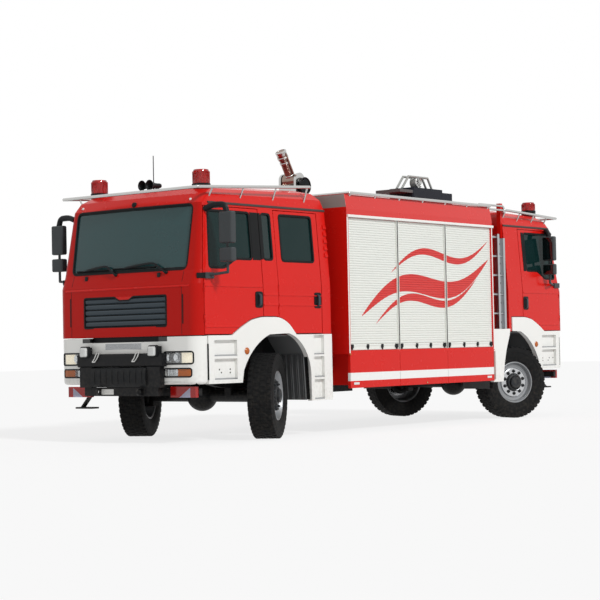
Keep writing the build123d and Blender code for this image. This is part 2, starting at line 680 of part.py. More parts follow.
# A hand wheel on the left cheek turns the turret
wheel = Pos(MONITOR_X - 50, CHEEK_OUT, PIVOT_Z - 80) * Rot(90, 0, 0)
turret += wheel * Pos(0, 0, -32) * Cylinder(110, 24)
turret += wheel * Pos(0, 0, -10) * Cylinder(18, 40)
turret -= cross * Cylinder(PIVOT_R + FIT, 3 * CHEEK_OUT)
save("monitor_turret", [FRONT * turret])
aim = Vector(cos(radians(BARREL_TILT)), 0, sin(radians(BARREL_TILT)))
pivot = Vector(MONITOR_X, 0, PIVOT_Z)
barrel = rod(tuple(pivot - aim * 60), tuple(pivot + aim * 340), 60)
barrel += rod(tuple(pivot + aim * 320), tuple(pivot + aim * 430), 70)
beside = pivot + Vector(0, 70, 0)
barrel += rod(tuple(beside + aim * 100), tuple(beside + aim * 400), 14)
barrel += cross * Cylinder(85, 2 * CHEEK_IN - 20)
barrel += cross * Cylinder(PIVOT_R, 2 * CHEEK_OUT + 2)
save("monitor_barrel", [FRONT * barrel])

# Ladder frame: rails with their brackets, cross members, end beams and towing eyes
rail_x = (REAR_AXLE_X - RAIL_END, FRONT_AXLE_X + RAIL_END)
rail = block(rail_x, (RAIL_IN, RAIL_OUT), (RAIL_LOW, RAIL_TOP))
rail -= block((rail_x[0] - 1, rail_x[1] + 1), (RAIL_IN - 1, RAIL_OUT - RAIL_THICK),
              (RAIL_LOW + RAIL_THICK, RAIL_TOP - RAIL_THICK))
rail += FRONT * block((BODY_REAR, BODY_FRONT), (RAIL_IN, RAIL_OUT), (RAIL_TOP - 5, BODY_LOW))
CAB_POSTS = (
    # cab place, side to take so that it lands on the left, and the posts' x
    (FRONT, 0, (1000, -1000)),
    (REAR, 1, (1000, -100)),
)
for place, side, posts in CAB_POSTS:
    for x in posts:
        post = both(block((x - 50, x + 50), (RAIL_IN, RAIL_OUT), (RAIL_TOP - 5, FLOOR_LOW)))
        rail += place * post[side]
    bumper_arm = both(block((RAIL_END - 20, BUMPER_INNER), (RAIL_IN, RAIL_OUT), (740, 920)))
    rail += place * bumper_arm[side]
    for x in (SPRING_HALF, -SPRING_HALF - 60):
        bracket = both(block((x, x + 60), (RAIL_OUT - 5, SPRING_Y[1] + 10), (RAIL_LOW, 880)))
        rail += place * bracket[side]
end_beam = block(END_BEAM_X, (-1040, 1040), END_BEAM_Z)
for hanger in both(block((1080, END_BEAM_X[1]), (RAIL_IN, RAIL_OUT), (END_BEAM_Z[0], RAIL_LOW))):
    end_beam += hanger
CROSSMEMBERS = (1060, -1150, -2000, -2600, -3400, -4300, -4900, -WHEELBASE - 1060)
web = RAIL_OUT - RAIL_THICK
members = [FRONT * block((x - 50, x + 50), (-web, web), (760, 920)) for x in CROSSMEMBERS]
rear_eyes = [REAR * side for side in both(towing_eye(END_BEAM_X[1], END_BEAM_X[1] + 75))]
save("chassis_frame", both(rail) + members + at_ends(end_beam) + rear_eyes)

# Axles with forks for the kingpins
EAR_LOW = 100
EAR_HIGH = 130
beam = Pos(0, 0, TYRE_R) * Rot(90, 0, 0) * Cylinder(BEAM_R, 1600)
beam += Pos(0, 0, TYRE_R) * Sphere(190)
beam += rod((0, 0, SHAFT_Z), (-NOSE_X, 0, SHAFT_Z), 80)
for side in (1, -1):
    beam += block((-60, 60), (side * 775, side * 835), (TYRE_R - EAR_HIGH, TYRE_R + EAR_HIGH))
    beam += block((-80, 80), (side * (SPRING_Y[0] - 10), side * (SPRING_Y[1] + 10)), (TYRE_R, SPRING_LOW))
    for ear in (EAR_LOW, -EAR_HIGH):
        height = (TYRE_R + ear, TYRE_R + ear + EAR_HIGH - EAR_LOW)
        beam += block((-45, 45), (side * 800, side * KINGPIN_Y), height)
        beam += Pos(0, side * KINGPIN_Y, sum(height) / 2) * Cylinder(45, EAR_HIGH - EAR_LOW)
    beam -= Pos(0, side * KINGPIN_Y, TYRE_R) * Cylinder(KINGPIN_R + FIT, 400)
save("axle_beams", at_ends(beam))

# Leaf springs
springs = []
arc_low = ThreePointArc((-SPRING_HALF + FIT, SPRING_LOW + SPRING_RISE), (0, SPRING_LOW),
                        (SPRING_HALF - FIT, SPRING_LOW + SPRING_RISE))
arc_high = Pos(0, SPRING_THICK) * arc_low
ends = [Line(arc_low @ t, arc_high @ t) for t in (0, 1)]
leaf = make_face([arc_low, arc_high, *ends])
leaf_solid = side_prism(leaf, *SPRING_Y) - block((-82, 82), (400, 600), (500, SPRING_LOW))
for side in both(leaf_solid):
    springs.extend(at_ends(side))
save("leaf_springs", springs)

# Engine with gearbox, transfer case with propeller shafts
engine = block((-450, 850), (-300, 300), (720, 1225))
engine += block((-1000, -450), (-200, 200), (700, 1000))
for x in (-200, 600):
    engine += block((x, x + 120), (-RAIL_OUT + RAIL_THICK, RAIL_OUT - RAIL_THICK), (780, 860))
CASE_X = (-WHEELBASE / 2 - 50, -WHEELBASE / 2 + 450)
case = block(CASE_X, (-180, 180), (480, 760))
case += rod((CASE_X[1], 0, SHAFT_Z), (-NOSE_X - FIT, 0, SHAFT_Z), 45)
case += rod((CASE_X[0], 0, SHAFT_Z), (-WHEELBASE + NOSE_X + FIT, 0, SHAFT_Z), 45)
save("powertrain", [FRONT * engine, FRONT * case])

# Wheels: knuckle, rim and tyre, drawn about the left kingpin and turned by the rest angle
HALF_SEAT = TYRE_WIDTH / 2 - 23
IN_L = WHEEL_OFFSET - HALF_SEAT
OUT_L = WHEEL_OFFSET + HALF_SEAT
LEFT_L = WHEEL_OFFSET - TYRE_WIDTH / 2
RIGHT_L = WHEEL_OFFSET + TYRE_WIDTH / 2


def lathe(points):
    """Turn a profile of (radius, sideways) about the wheel's own axle, along y."""
    return revolve(Polygon(*points, align=None), Axis.Y)


def spin_rod(radius, start, end):
    return rod((0, start, 0), (0, end, 0), radius)


knuckle = Cylinder(62, 2 * (EAR_LOW - 2))
knuckle += Cylinder(KINGPIN_R, 2 * EAR_HIGH + 8)
knuckle += spin_rod(SPINDLE_R, 0, 175)
knuckle += spin_rod(170, 66, 88)
# Flat sides and one bevelled shoulder keep the four tyres light; scene.py draws the round ones with their tread
tyre = lathe(((LIP_R + FIT, LEFT_L), (TYRE_R, LEFT_L), (TYRE_R, RIGHT_L - 38), (465, RIGHT_L), (LIP_R + FIT, RIGHT_L)))
rim = lathe(((SEAT_R, IN_L), (LIP_R, IN_L), (LIP_R, OUT_L), (SEAT_R + 6, OUT_L), (SEAT_R, OUT_L - 25)))
rim += lathe(((100, 160), (SEAT_R + 6, 160), (SEAT_R + 6, 180), (190, 195), (100, 195)))
rim += spin_rod(HUB_R, 95, 240)
rim += spin_rod(85, 235, 262)
rim -= spin_rod(SPINDLE_R + FIT, 80, 180)
CORNERS = (
    # name, axle x, side, rest angle
    ("front_left", FRONT_AXLE_X, 1, STEER_FRONT),
    ("front_right", FRONT_AXLE_X, -1, STEER_FRONT),
    ("rear_left", REAR_AXLE_X, 1, STEER_REAR),
    ("rear_right", REAR_AXLE_X, -1, STEER_REAR),
)
for name, axle_x, side, turn in CORNERS:
    place = Pos(axle_x, side * KINGPIN_Y, TYRE_R) * Rot(0, 0, turn)
    for piece, shape in (("knuckle", knuckle), ("rim", rim), ("tyre", tyre)):
        handed = shape if side == 1 else mirror(shape, Plane.XZ)
        save(f"{piece}_{name}", [place * handed])
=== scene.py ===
# %% [markdown]
# # A fire rescue truck with a cab at each end
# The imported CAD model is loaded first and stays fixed: it gives every piece its place and its body.
# This lesson then dresses it, from the camera and the light to paint, glass, rubber and small fittings.
# Places are written in millimetres from the truck's own axles, and small helpers turn them into metres.

# %% Load the frame and measure it
import math
import bmesh
import bpy
from mathutils import Matrix, Vector


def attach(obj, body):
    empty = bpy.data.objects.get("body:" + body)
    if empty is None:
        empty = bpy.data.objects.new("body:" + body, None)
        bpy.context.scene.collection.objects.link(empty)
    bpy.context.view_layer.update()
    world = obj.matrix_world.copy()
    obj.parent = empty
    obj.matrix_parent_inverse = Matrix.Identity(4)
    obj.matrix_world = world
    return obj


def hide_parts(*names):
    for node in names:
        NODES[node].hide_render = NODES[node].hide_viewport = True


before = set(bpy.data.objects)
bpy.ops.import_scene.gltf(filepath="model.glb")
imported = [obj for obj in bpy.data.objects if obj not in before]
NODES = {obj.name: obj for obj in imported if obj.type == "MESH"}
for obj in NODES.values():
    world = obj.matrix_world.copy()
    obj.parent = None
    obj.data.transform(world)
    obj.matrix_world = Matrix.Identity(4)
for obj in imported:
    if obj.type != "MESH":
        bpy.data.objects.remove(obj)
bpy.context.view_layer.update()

# %% [markdown]
# ## Where things are
# Both cabs are drawn from their own axle, looking forward out of that cab. The rear cab is the front one
# turned half round, so one helper turns a cab point into a truck point. Body pieces are measured from the
# front axle. Keeping these three ways of counting saves writing every place twice.

# %% Places in the truck
FRONT_AXLE, REAR_AXLE = 2.735, -2.865


def front_cab(x, y, z):
    return Vector((FRONT_AXLE + x / 1000, y / 1000, z / 1000))


def rear_cab(x, y, z):
    return Vector((REAR_AXLE - x / 1000, -y / 1000, z / 1000))


body_spot = front_cab
CABS = {"front": front_cab, "rear": rear_cab}
HANDS = {"left": 1, "right": -1}
SIDES = tuple(HANDS.values())
CAB_SIDES = {f"{end}_{hand}": (cab, side) for end, cab in CABS.items() for hand, side in HANDS.items()}
print("axles at", FRONT_AXLE, REAR_AXLE)

# %% [markdown]
# ## Camera
# The photograph was taken from low down, off the front left corner, with a long lens. Its place, aim and
# lens were solved from points that are easy to find on the truck, such as the wheel centres, the cab's edges
# and the shutters' corners. A long lens keeps the two cabs nearly the same size.

# %% Camera
def new_object(name, data):
    """An object for some data, linked into the scene."""
    thing = bpy.data.objects.new(name, data)
    bpy.context.collection.objects.link(thing)
    return thing


SPOT = Vector((18.429, 14.069, 1.101))
YAW, PITCH, ROLL = (math.radians(a) for a in (218.531, 1.549, -1.199))
ahead = Vector((math.cos(YAW) * math.cos(PITCH), math.sin(YAW) * math.cos(PITCH), math.sin(PITCH)))
level = ahead.cross(Vector((0, 0, 1))).normalized()
level_up = level.cross(ahead)
right = level * math.cos(ROLL) + level_up * math.sin(ROLL)
up = level_up * math.cos(ROLL) - level * math.sin(ROLL)
lens = bpy.data.cameras.new("photo_camera")
lens.lens, lens.sensor_width, lens.clip_end = 102.23, 36, 200
camera = new_object("photo_camera", lens)
camera.matrix_world = Matrix.Translation(SPOT) @ Matrix((right, up, -ahead)).transposed().to_4x4()
bpy.context.scene.camera = camera
print("camera", [round(v, 2) for v in SPOT])

# %% [markdown]
# ## Node helpers
# Materials and Geometry Nodes are both built in code here. A few small helpers keep that readable: one adds
# a node and fills its inputs, another does one step of arithmetic.

# %% Node helpers
FLOAT, COLOUR, VECTOR = "NodeSocketFloat", "NodeSocketColor", "NodeSocketVector"
COUNT, GEOMETRY, FINISH = "NodeSocketInt", "NodeSocketGeometry", "NodeSocketMaterial"


def put(tree, kind, inputs=None, **settings):
    """Add a node, set its properties, then fill its inputs with values or links."""
    node = tree.nodes.new(kind)
    for key, value in settings.items():
        setattr(node, key, value)
    for key, value in (inputs or {}).items():
        if isinstance(value, bpy.types.NodeSocket):
            tree.links.new(value, node.inputs[key])
        else:
            node.inputs[key].default_value = value
    return node


def calc(tree, operation, *terms):
    """One arithmetic step; terms are numbers or sockets."""
    return put(tree, "ShaderNodeMath", dict(enumerate(terms)), operation=operation).outputs[0]


def smooth_step(tree, value, start, end):
    """0 at start, 1 at end, smooth between."""
    node = put(tree, "ShaderNodeMapRange", {"Value": value, "From Min": start, "From Max": end},
               interpolation_type="SMOOTHSTEP")
    return node.outputs["Result"]


def blend_colour(tree, factor, first, second):
    return put(tree, "ShaderNodeMix", {0: factor, 6: first, 7: second}, data_type="RGBA").outputs[2]


def node_group(name, kind, inputs, outputs):
    """An empty node group with named sockets, and its two ends."""
    tree = bpy.data.node_groups.new(name, kind)
    for label, socket_kind, default in inputs:
        socket = tree.interface.new_socket(label, in_out="INPUT", socket_type=socket_kind)
        if default is not None:
            socket.default_value = default
    for label, socket_kind in outputs:
        tree.interface.new_socket(label, in_out="OUTPUT", socket_type=socket_kind)
    return tree, tree.nodes.new("NodeGroupInput"), tree.nodes.new("NodeGroupOutput")


def shader_group(name, inputs, outputs):
    return node_group(name, "ShaderNodeTree", inputs, outputs)


print("node helpers ready")

# %% [markdown]
# ## Stage
# The truck stands on a plain pale floor under soft light. Sunlight comes from its left and above, as in the
# photograph, where the side is bright and the front is in half shade. The background is white only for the
# camera, in reflections and through glass, so the light on the truck stays at a plain level.

# %% Floor, world and light
SKY_LIGHT, SUN_LIGHT, SUN_WIDTH = 0.40, 2.0, 9
SUN_FROM = Vector((0.18, 0.82, 0.68))
FLOOR_HALF, FLOOR_GLOW = 60.0, 0.78
WHITE = (1, 1, 1, 1)


def background_rays(tree):
    """1 for rays that see the background: straight from the camera, mirrored or through glass."""
    path = put(tree, "ShaderNodeLightPath")
    seen = calc(tree, "MAXIMUM", path.outputs["Is Camera Ray"], path.outputs["Is Glossy Ray"])
    return calc(tree, "MAXIMUM", seen, path.outputs["Is Transmission Ray"])


world = bpy.data.worlds.new("soft_sky")
bpy.context.scene.world = world
world.use_nodes = True
sky = world.node_tree
sky.nodes.clear()
lit, seen = (put(sky, "ShaderNodeBackground", {"Color": WHITE, "Strength": s}).outputs[0]
             for s in (SKY_LIGHT, 1.0))
both_skies = put(sky, "ShaderNodeMixShader", {0: background_rays(sky), 1: lit, 2: seen})
put(sky, "ShaderNodeOutputWorld", {"Surface": both_skies.outputs[0]})

floor_mesh = bpy.data.meshes.new("floor")
corners = [(x * FLOOR_HALF, y * FLOOR_HALF, 0) for x, y in ((-1, -1), (1, -1), (1, 1), (-1, 1))]
floor_mesh.from_pydata(corners, [], [(0, 1, 2, 3)])
floor = new_object("floor", floor_mesh)
floor_paint = bpy.data.materials.new("pale_floor")
floor_paint.use_nodes = True
ground = floor_paint.node_tree
ground.nodes.clear()
matte = put(ground, "ShaderNodeBsdfDiffuse", {"Color": (0.9, 0.9, 0.9, 1)})
glow = put(ground, "ShaderNodeEmission", {"Color": WHITE, "Strength": 1.0})
share = calc(ground, "MULTIPLY", background_rays(ground), FLOOR_GLOW)
surface = put(ground, "ShaderNodeMixShader", {0: share, 1: matte.outputs[0], 2: glow.outputs[0]})
put(ground, "ShaderNodeOutputMaterial", {"Surface": surface.outputs[0]})
floor_mesh.materials.append(floor_paint)

sun = bpy.data.lights.new("soft_sun", "SUN")
sun.energy, sun.angle = SUN_LIGHT, math.radians(SUN_WIDTH)
new_object("soft_sun", sun).rotation_euler = SUN_FROM.to_track_quat("Z", "Y").to_euler()
bpy.context.scene.view_settings.view_transform = "Standard"
print("sky", SKY_LIGHT, "sun", SUN_LIGHT)

# %% [markdown]
# ## Shared surface effects
# Real paint is never one even colour: it fades a little in patches, and road dust gathers low down. Plastic
# has a fine moulded grain, and brushed metal has streaks. Each effect is a node group that reads the truck's
# own coordinates, so all pieces weather together and the pattern keeps its size.

# %% Effect groups
DARK_PATCH, DUST_COLOUR = (0.02, 0.015, 0.015, 1), (0.30, 0.26, 0.21, 1)


def object_place(tree):
    return put(tree, "ShaderNodeTexCoord").outputs["Object"]


def noise(tree, vector, scale, detail=3.0):
    return put(tree, "ShaderNodeTexNoise",
               {"Vector": vector, "Scale": scale, "Detail": detail}).outputs["Fac"]


def swing(tree, value, amount):
    """A noise value turned into a small swing about nought."""
    return calc(tree, "MULTIPLY", calc(tree, "SUBTRACT", value, 0.5), amount)


def weather_group():
    """Colour that fades in patches and gathers dust near the ground."""
    tree, given, out = shader_group(
        "Weathered Colour",
        (("Colour", COLOUR, (0.5, 0.5, 0.5, 1)), ("Patches", FLOAT, 0.06), ("Dust", FLOAT, 0.25),
         ("Dust Top", FLOAT, 1.1), ("Roughness", FLOAT, 0.3)),
        (("Colour", COLOUR), ("Roughness", FLOAT)))
    place = object_place(tree)
    patch = calc(tree, "MULTIPLY", noise(tree, place, 1.7), given.outputs["Patches"])
    dark = blend_colour(tree, patch, given.outputs["Colour"], DARK_PATCH)
    height = put(tree, "ShaderNodeSeparateXYZ", {0: place}).outputs[2]
    low = calc(tree, "SUBTRACT", 1.0, calc(tree, "DIVIDE", height, given.outputs["Dust Top"]))
    low = put(tree, "ShaderNodeClamp", {"Value": low}).outputs[0]
    speck = smooth_step(tree, noise(tree, place, 26.0, 6.0), 0.38, 0.72)
    dust = calc(tree, "MULTIPLY", calc(tree, "MULTIPLY", low, speck), given.outputs["Dust"])
    rough = calc(tree, "ADD", given.outputs["Roughness"], calc(tree, "MULTIPLY", dust, 0.5))
    rough = calc(tree, "ADD", rough, swing(tree, noise(tree, place, 9.0), 0.10))
    tree.links.new(blend_colour(tree, dust, dark, DUST_COLOUR), out.inputs["Colour"])
    tree.links.new(rough, out.inputs["Roughness"])
    return tree


def grain_group():
    """Fine moulded or sprayed grain as a height."""
    tree, given, out = shader_group(
        "Fine Grain", (("Scale", FLOAT, 300.0), ("Coarse", FLOAT, 0.3)), (("Height", FLOAT),))
    place = object_place(tree)
    fine = noise(tree, place, given.outputs["Scale"], 2.0)
    wide = noise(tree, place, calc(tree, "DIVIDE", given.outputs["Scale"], 12.0), 2.0)
    height = calc(tree, "ADD", fine, calc(tree, "MULTIPLY", wide, given.outputs["Coarse"]))
    tree.links.new(height, out.inputs["Height"])
    return tree


def streak_group():
    """Brushed streaks along one direction, as a height."""
    tree, given, out = shader_group(
        "Brushed Streaks", (("Stretch", VECTOR, (4.0, 4.0, 260.0)),), (("Height", FLOAT),))
    long_way = put(tree, "ShaderNodeVectorMath", {0: object_place(tree), 1: given.outputs["Stretch"]},
                   operation="MULTIPLY").outputs[0]
    tree.links.new(noise(tree, long_way, 1.0, 4.0), out.inputs["Height"])
    return tree


WEATHER, GRAIN, STREAKS = weather_group(), grain_group(), streak_group()
print("groups", [g.name for g in (WEATHER, GRAIN, STREAKS)])

# %% [markdown]
# ## Finishes
# A finish is one Principled material with the weather group for its colour and, where the real surface has
# it, a bump from grain or streaks. Numbers that are the same all over are set straight on the shader.

# %% Finish maker
def srgb(r, g, b):
    """A colour as it looks on screen, turned into the linear numbers that shaders use."""
    linear = (((c / 255 + 0.055) / 1.055) ** 2.4 if c > 10 else c / 255 / 12.92 for c in (r, g, b))
    return (*linear, 1.0)


def new_material(name, sockets):
    """A material with values set straight on its shader; returns it with its tree and shader."""
    material = bpy.data.materials.new(name)
    material.use_nodes = True
    shader = material.node_tree.nodes["Principled BSDF"]
    for label, value in sockets.items():
        shader.inputs[label.replace("_", " ")].default_value = value
    return material, material.node_tree, shader


def finish(name, colour, roughness, shine=0.5, grain=None, streaks=None, patches=0.06, dust=0.2, dust_top=1.1,
           **sockets):
    """A painted, moulded or metal finish; shine is the shader's specular level."""
    material, tree, shader = new_material(name, {"Specular IOR Level": shine, **sockets})
    coat = put(tree, "ShaderNodeGroup", {"Colour": srgb(*colour), "Patches": patches, "Dust": dust,
                                         "Dust Top": dust_top, "Roughness": roughness}, node_tree=WEATHER)
    tree.links.new(coat.outputs["Colour"], shader.inputs["Base Color"])
    tree.links.new(coat.outputs["Roughness"], shader.inputs["Roughness"])
    for group, label, given in ((GRAIN, "Scale", grain), (STREAKS, "Stretch", streaks)):
        if given:
            size, strength = given
            height = put(tree, "ShaderNodeGroup", {label: size}, node_tree=group).outputs["Height"]
            bump = put(tree, "ShaderNodeBump", {"Height": height, "Strength": strength, "Distance": 0.002})
            tree.links.new(bump.outputs[0], shader.inputs["Normal"])
    return material


# The last colour is the black inside the wheel wells, and also the painted shade in the gap between bumper and cab.
RED, CREAM, WELL_BLACK_AND_GAP_SHADE = (214, 25, 17), (252, 244, 222), (16, 17, 18)
DULL, SATIN = 0.16, 0.3
red_paint = finish("red_gloss_paint", RED, 0.26, 0.18, (900, 0.04), dust=0.03, Coat_Weight=0.06,
                   Coat_Roughness=0.06)
# The cab fronts get a darker red than the sides: painted shade, for the half shade that falls on them.
red_with_painted_shade = finish("red_paint_with_painted_shade", (188, 20, 12), 0.30, 0.12, (900, 0.04))
white_paint = finish("white_gloss_paint", (240, 240, 236), 0.32, grain=(700, 0.05), dust=0.35,
                     Coat_Weight=0.25)
black_plastic = finish("black_moulded_plastic", (22, 24, 26), 0.5, DULL, (420, 0.35), dust=0.1)
grey_plastic = finish("dark_grey_mirror_shell", (66, 70, 72), 0.45, DULL, (420, 0.25))
chassis_black = finish("chassis_black_paint", (20, 21, 23), 0.45, DULL, (120, 0.3), dust=0.14)
gutter_grey = finish("gutter_grey", (74, 66, 64), 0.5, DULL, (300, 0.2), dust=0.0)
tyre_rubber = finish("tyre_rubber", (15, 16, 17), 0.75, DULL, (260, 0.35), dust=0.07, dust_top=1.2)
black_rubber = finish("black_gasket_rubber", (16, 18, 19), 0.55, DULL, (300, 0.2), dust=0.05)
grille_grey = finish("grille_blue_grey", (50, 62, 70), 0.38, SATIN, (420, 0.15), dust=0.05)
seat_cloth = finish("dark_seat_cloth", (52, 55, 62), 0.9, grain=(620, 0.5), patches=0.15, dust=0.0)
flap_rubber = finish("flap_rubber", (98, 100, 101), 0.65, DULL, (200, 0.3), dust=0.15)
bright_steel = finish("bright_steel_tube", (198, 198, 196), 0.24, patches=0.12, dust=0.1, Metallic=1.0)
aluminium = finish("brushed_aluminium", (186, 188, 190), 0.34, streaks=((3.0, 3.0, 240.0), 0.12),
                   patches=0.12,
                   Metallic=1.0)
lamp_tray_grey = finish("shutter_frame_grey", (120, 122, 120), 0.4, Metallic=0.7)
guard_strip = finish("corner_guard_metal", (176, 146, 140), 0.35, patches=0.2, Metallic=0.7)
rim_well = finish("silver_rim_paint", (150, 153, 156), 0.38, patches=0.2, dust=0.3, Metallic=0.6)
rim_steel = finish("polished_rim_steel", (206, 208, 210), 0.22, patches=0.2, dust=0.3, Metallic=1.0)
hub_black = finish("hub_black", (30, 34, 38), 0.4, SATIN, (200, 0.3))
brass = finish("monitor_brass", (158, 138, 126), 0.3, patches=0.25, dust=0.0, Metallic=1.0)
box_black = finish("roof_box_black", (24, 30, 40), 0.4, DULL, (500, 0.3))
cabin_grey = finish("cabin_plastic", (70, 72, 76), 0.6, grain=(380, 0.4), dust=0.0)
mirror_silver = finish("silvered_glass", (214, 218, 220), 0.06, patches=0.05, dust=0.0, Metallic=1.0)
mirror_glass = finish("tinted_mirror_glass", (78, 84, 86), 0.12, patches=0.05, dust=0.0, Metallic=1.0)
lamp_white = finish("white_lamp_moulding", (226, 228, 226), 0.25, dust=0.0, Coat_Weight=0.4)
# The cream flutes also glow a little: a painted highlight that stands in for the sunlight they reflect.
lamp_cream_with_painted_highlight = finish("cream_lamp_flutes_with_painted_highlight", CREAM, 0.3, dust=0.0, Coat_Weight=0.3, Emission_Color=srgb(*CREAM),
                    Emission_Strength=0.3)
print("finishes", len(bpy.data.materials))

# %% Glass and lenses
FILM = (0.05, 0.07, 0.07, 1)
SIDE_TINT = (0.002, 0.026, 0.025, 1)


def glass(name, colour, roughness=0.03, transmission=1.0, **sockets):
    """Tinted glass or a lamp lens with a faint film that changes its roughness; thin covers use Alpha instead."""
    material, tree, shader = new_material(name, {"Transmission Weight": transmission, "IOR": 1.48, **sockets})
    film = noise(tree, object_place(tree), 5.0, 4.0)
    rough = calc(tree, "ADD", roughness, calc(tree, "MULTIPLY", film, 0.03))
    tree.links.new(rough, shader.inputs["Roughness"])
    tint = blend_colour(tree, calc(tree, "MULTIPLY", film, 0.2), colour, FILM)
    tree.links.new(tint, shader.inputs["Base Color"])
    return material


screen_glass = glass("windscreen_glass", (0.030, 0.105, 0.110, 1), transmission=0.4, Specular_IOR_Level=0.3)
side_glass = glass("side_window_glass", SIDE_TINT, transmission=0.3, Specular_IOR_Level=0.05)
clear_lens = glass("clear_lamp_lens", (0.96, 0.97, 0.98, 1), 0.04, transmission=0.0, Alpha=0.14)
beacon_red = glass("beacon_red_lens", srgb(214, 20, 18), 0.06, transmission=0.6)
red_lens = glass("red_lamp_lens", srgb(200, 18, 14), 0.12, transmission=0.35)
amber_lens = glass("amber_lamp_lens", srgb(214, 110, 20), 0.12, transmission=0.35)
print("glass and lenses ready")

# %% [markdown]
# ## Dressing the CAD nodes
# Most solids already have the right shape, so they keep it and only get a finish. The table below goes from
# a finish to the starts of the names of its nodes; the longest match wins.

# %% Finish for every CAD node
NODE_FINISH = (
    (red_paint, "cab_ body_ side_skirts front_door_ crew_door_ rear_door_"),
    (red_with_painted_shade, "cab_fronts"),
    (white_paint, "bumpers wheel_arches shutters"),
    (chassis_black, "cab_floors hanging_steps winch_guard underbody_lockers knuckle_"),
    (chassis_black, "chassis_frame axle_beams leaf_springs powertrain"),
    (cabin_grey, "cab_interiors"), (black_plastic, "grilles"), (box_black, "roof_light_box"),
    (screen_glass, "fixed_glass"), (side_glass, "front_window_ crew_window_ rear_window_"),
    (grey_plastic, "front_mirror_ rear_mirror_"), (flap_rubber, "wheel_liners"),
    (clear_lens, "headlamps"), (red_lens, "tail_lamps roof_signals"),
    (bright_steel, "roof_rails"), (aluminium, "ladder"), (brass, "monitor_"),
    (rim_steel, "rim_"), (tyre_rubber, "tyre_"),
)
FINISH_OF = {start: material for material, starts in NODE_FINISH for start in starts.split()}
for node, node_object in NODES.items():
    longest = max((start for start in FINISH_OF if node.startswith(start)), key=len)
    node_object.data.materials.clear()
    node_object.data.materials.append(FINISH_OF[longest])
print("dressed", len(NODES), "nodes")

# %% [markdown]
# ## Mesh helpers
# Small fittings are drawn with a handful of shapes: a block with rounded edges, a skin over rows of points,
# a section carried along a path, a profile turned about an axle, and a thin plate laid on a surface. Each
# adds to a bmesh, so a fitting can be put together from several shapes before it becomes one piece.

# %% Shapes for fittings
def mm(pairs, side=1):
    """Pairs in millimetres as metres; the second number changes its sign with the side."""
    return [(a / 1000, side * b / 1000) for a, b in pairs]


def span(start, end, count):
    return [start + (end - start) * k / (count - 1) for k in range(count)]


def box_into(bm, low, high, bevel=0.0, steps=2):
    """A block between two corners, its edges rounded."""
    part = bmesh.ops.create_cube(bm, size=1.0)["verts"]
    for vert in part:
        vert.co = Vector([min(a, b) + (c + 0.5) * abs(b - a) for a, b, c in zip(low, high, vert.co)])
    if bevel:
        edges = list({edge for vert in part for edge in vert.link_edges})
        bmesh.ops.bevel(bm, geom=edges, offset=bevel, segments=steps, profile=0.5, affect="EDGES")


def rounded(points, radius, closed=False, steps=5):
    """The same run of points with its corners rounded."""
    out = []
    for i, corner in enumerate(points):
        if not closed and i in (0, len(points) - 1):
            out.append(corner.copy())
            continue
        back, on = points[i - 1] - corner, points[(i + 1) % len(points)] - corner
        reach = min(radius, back.length * 0.49, on.length * 0.49)
        start, end = corner + back.normalized() * reach, corner + on.normalized() * reach
        for k in range(steps + 1):
            t = k / steps
            out.append(start * (1 - t) ** 2 + corner * 2 * t * (1 - t) + end * t * t)
    return out


def loop_of(corners, radius, steps=5):
    """A closed loop of (across, z) corners with the corners rounded, as points with no depth."""
    return rounded([Vector((a, 0, z)) for a, z in corners], radius, closed=True, steps=steps)


def fine_loop(corners, radius, step):
    """The same loop cut into short runs, so that it can follow a curved face."""
    loop, ring = [], loop_of(corners, radius)
    for start, end in zip(ring, ring[1:] + ring[:1]):
        pieces = max(1, round((end - start).length / step))
        loop.extend(start.lerp(end, k / pieces) for k in range(pieces))
    return loop


def skin_into(bm, rows, closed=False):
    """A skin over rows of points, capped at both ends unless the rows close on themselves."""
    rings = [[bm.verts.new(point) for point in row] for row in rows]
    size = len(rings[0])
    for i in range(len(rings) if closed else len(rings) - 1):
        first, second = rings[i], rings[(i + 1) % len(rings)]
        for k in range(size):
            j = (k + 1) % size
            bm.faces.new((first[k], first[j], second[j], second[k]))
    if not closed:
        bm.faces.new(rings[0][::-1])
        bm.faces.new(rings[-1])


def plate_into(bm, outline, lift):
    """A thin closed plate: outline on the surface, lift is the way it stands out, as a vector."""
    skin_into(bm, (outline, [point + lift for point in outline]))


def sweep_into(bm, path, section, outward=None, closed=False):
    """Carry a section of (sideways, outwards) points along a path; outward keeps it upright, or it rolls freely."""
    rows, count, side = [], len(path), None
    for i, point in enumerate(path):
        before = path[i - 1] if closed or i else point
        after = path[(i + 1) % count] if closed or i < count - 1 else point
        tangent = (after - before).normalized()
        if outward is not None:
            side = tangent.cross(outward).normalized()
        elif side is None:
            side = tangent.orthogonal().normalized()
        else:
            side = (side - tangent * side.dot(tangent)).normalized()
        rise = side.cross(tangent)
        turn_in = (after - point).normalized() if after != point else tangent
        mitre = min(1 / max(tangent.dot(turn_in), 0.5), 2)
        rows.append([point + side * a * mitre + rise * b for a, b in section])
    skin_into(bm, rows, closed)


def circle(radius, sides, out=0.0, along=0.0):
    """A ring of points about (out, along)."""
    angles = [2 * math.pi * k / sides for k in range(sides)]
    return [(out + radius * math.cos(a), along + radius * math.sin(a)) for a in angles]


def flat_bar(width, height, sink=0.0):
    """A section with softened upper edges, standing on the surface and sunk into it."""
    w, soft = width / 2, min(width, height) * 0.25
    return [(-w, -sink), (w, -sink), (w, height - soft), (w - soft, height), (soft - w, height),
            (-w, height - soft)]


def tube_into(bm, path, radius, sides=10):
    sweep_into(bm, path, circle(radius, sides))


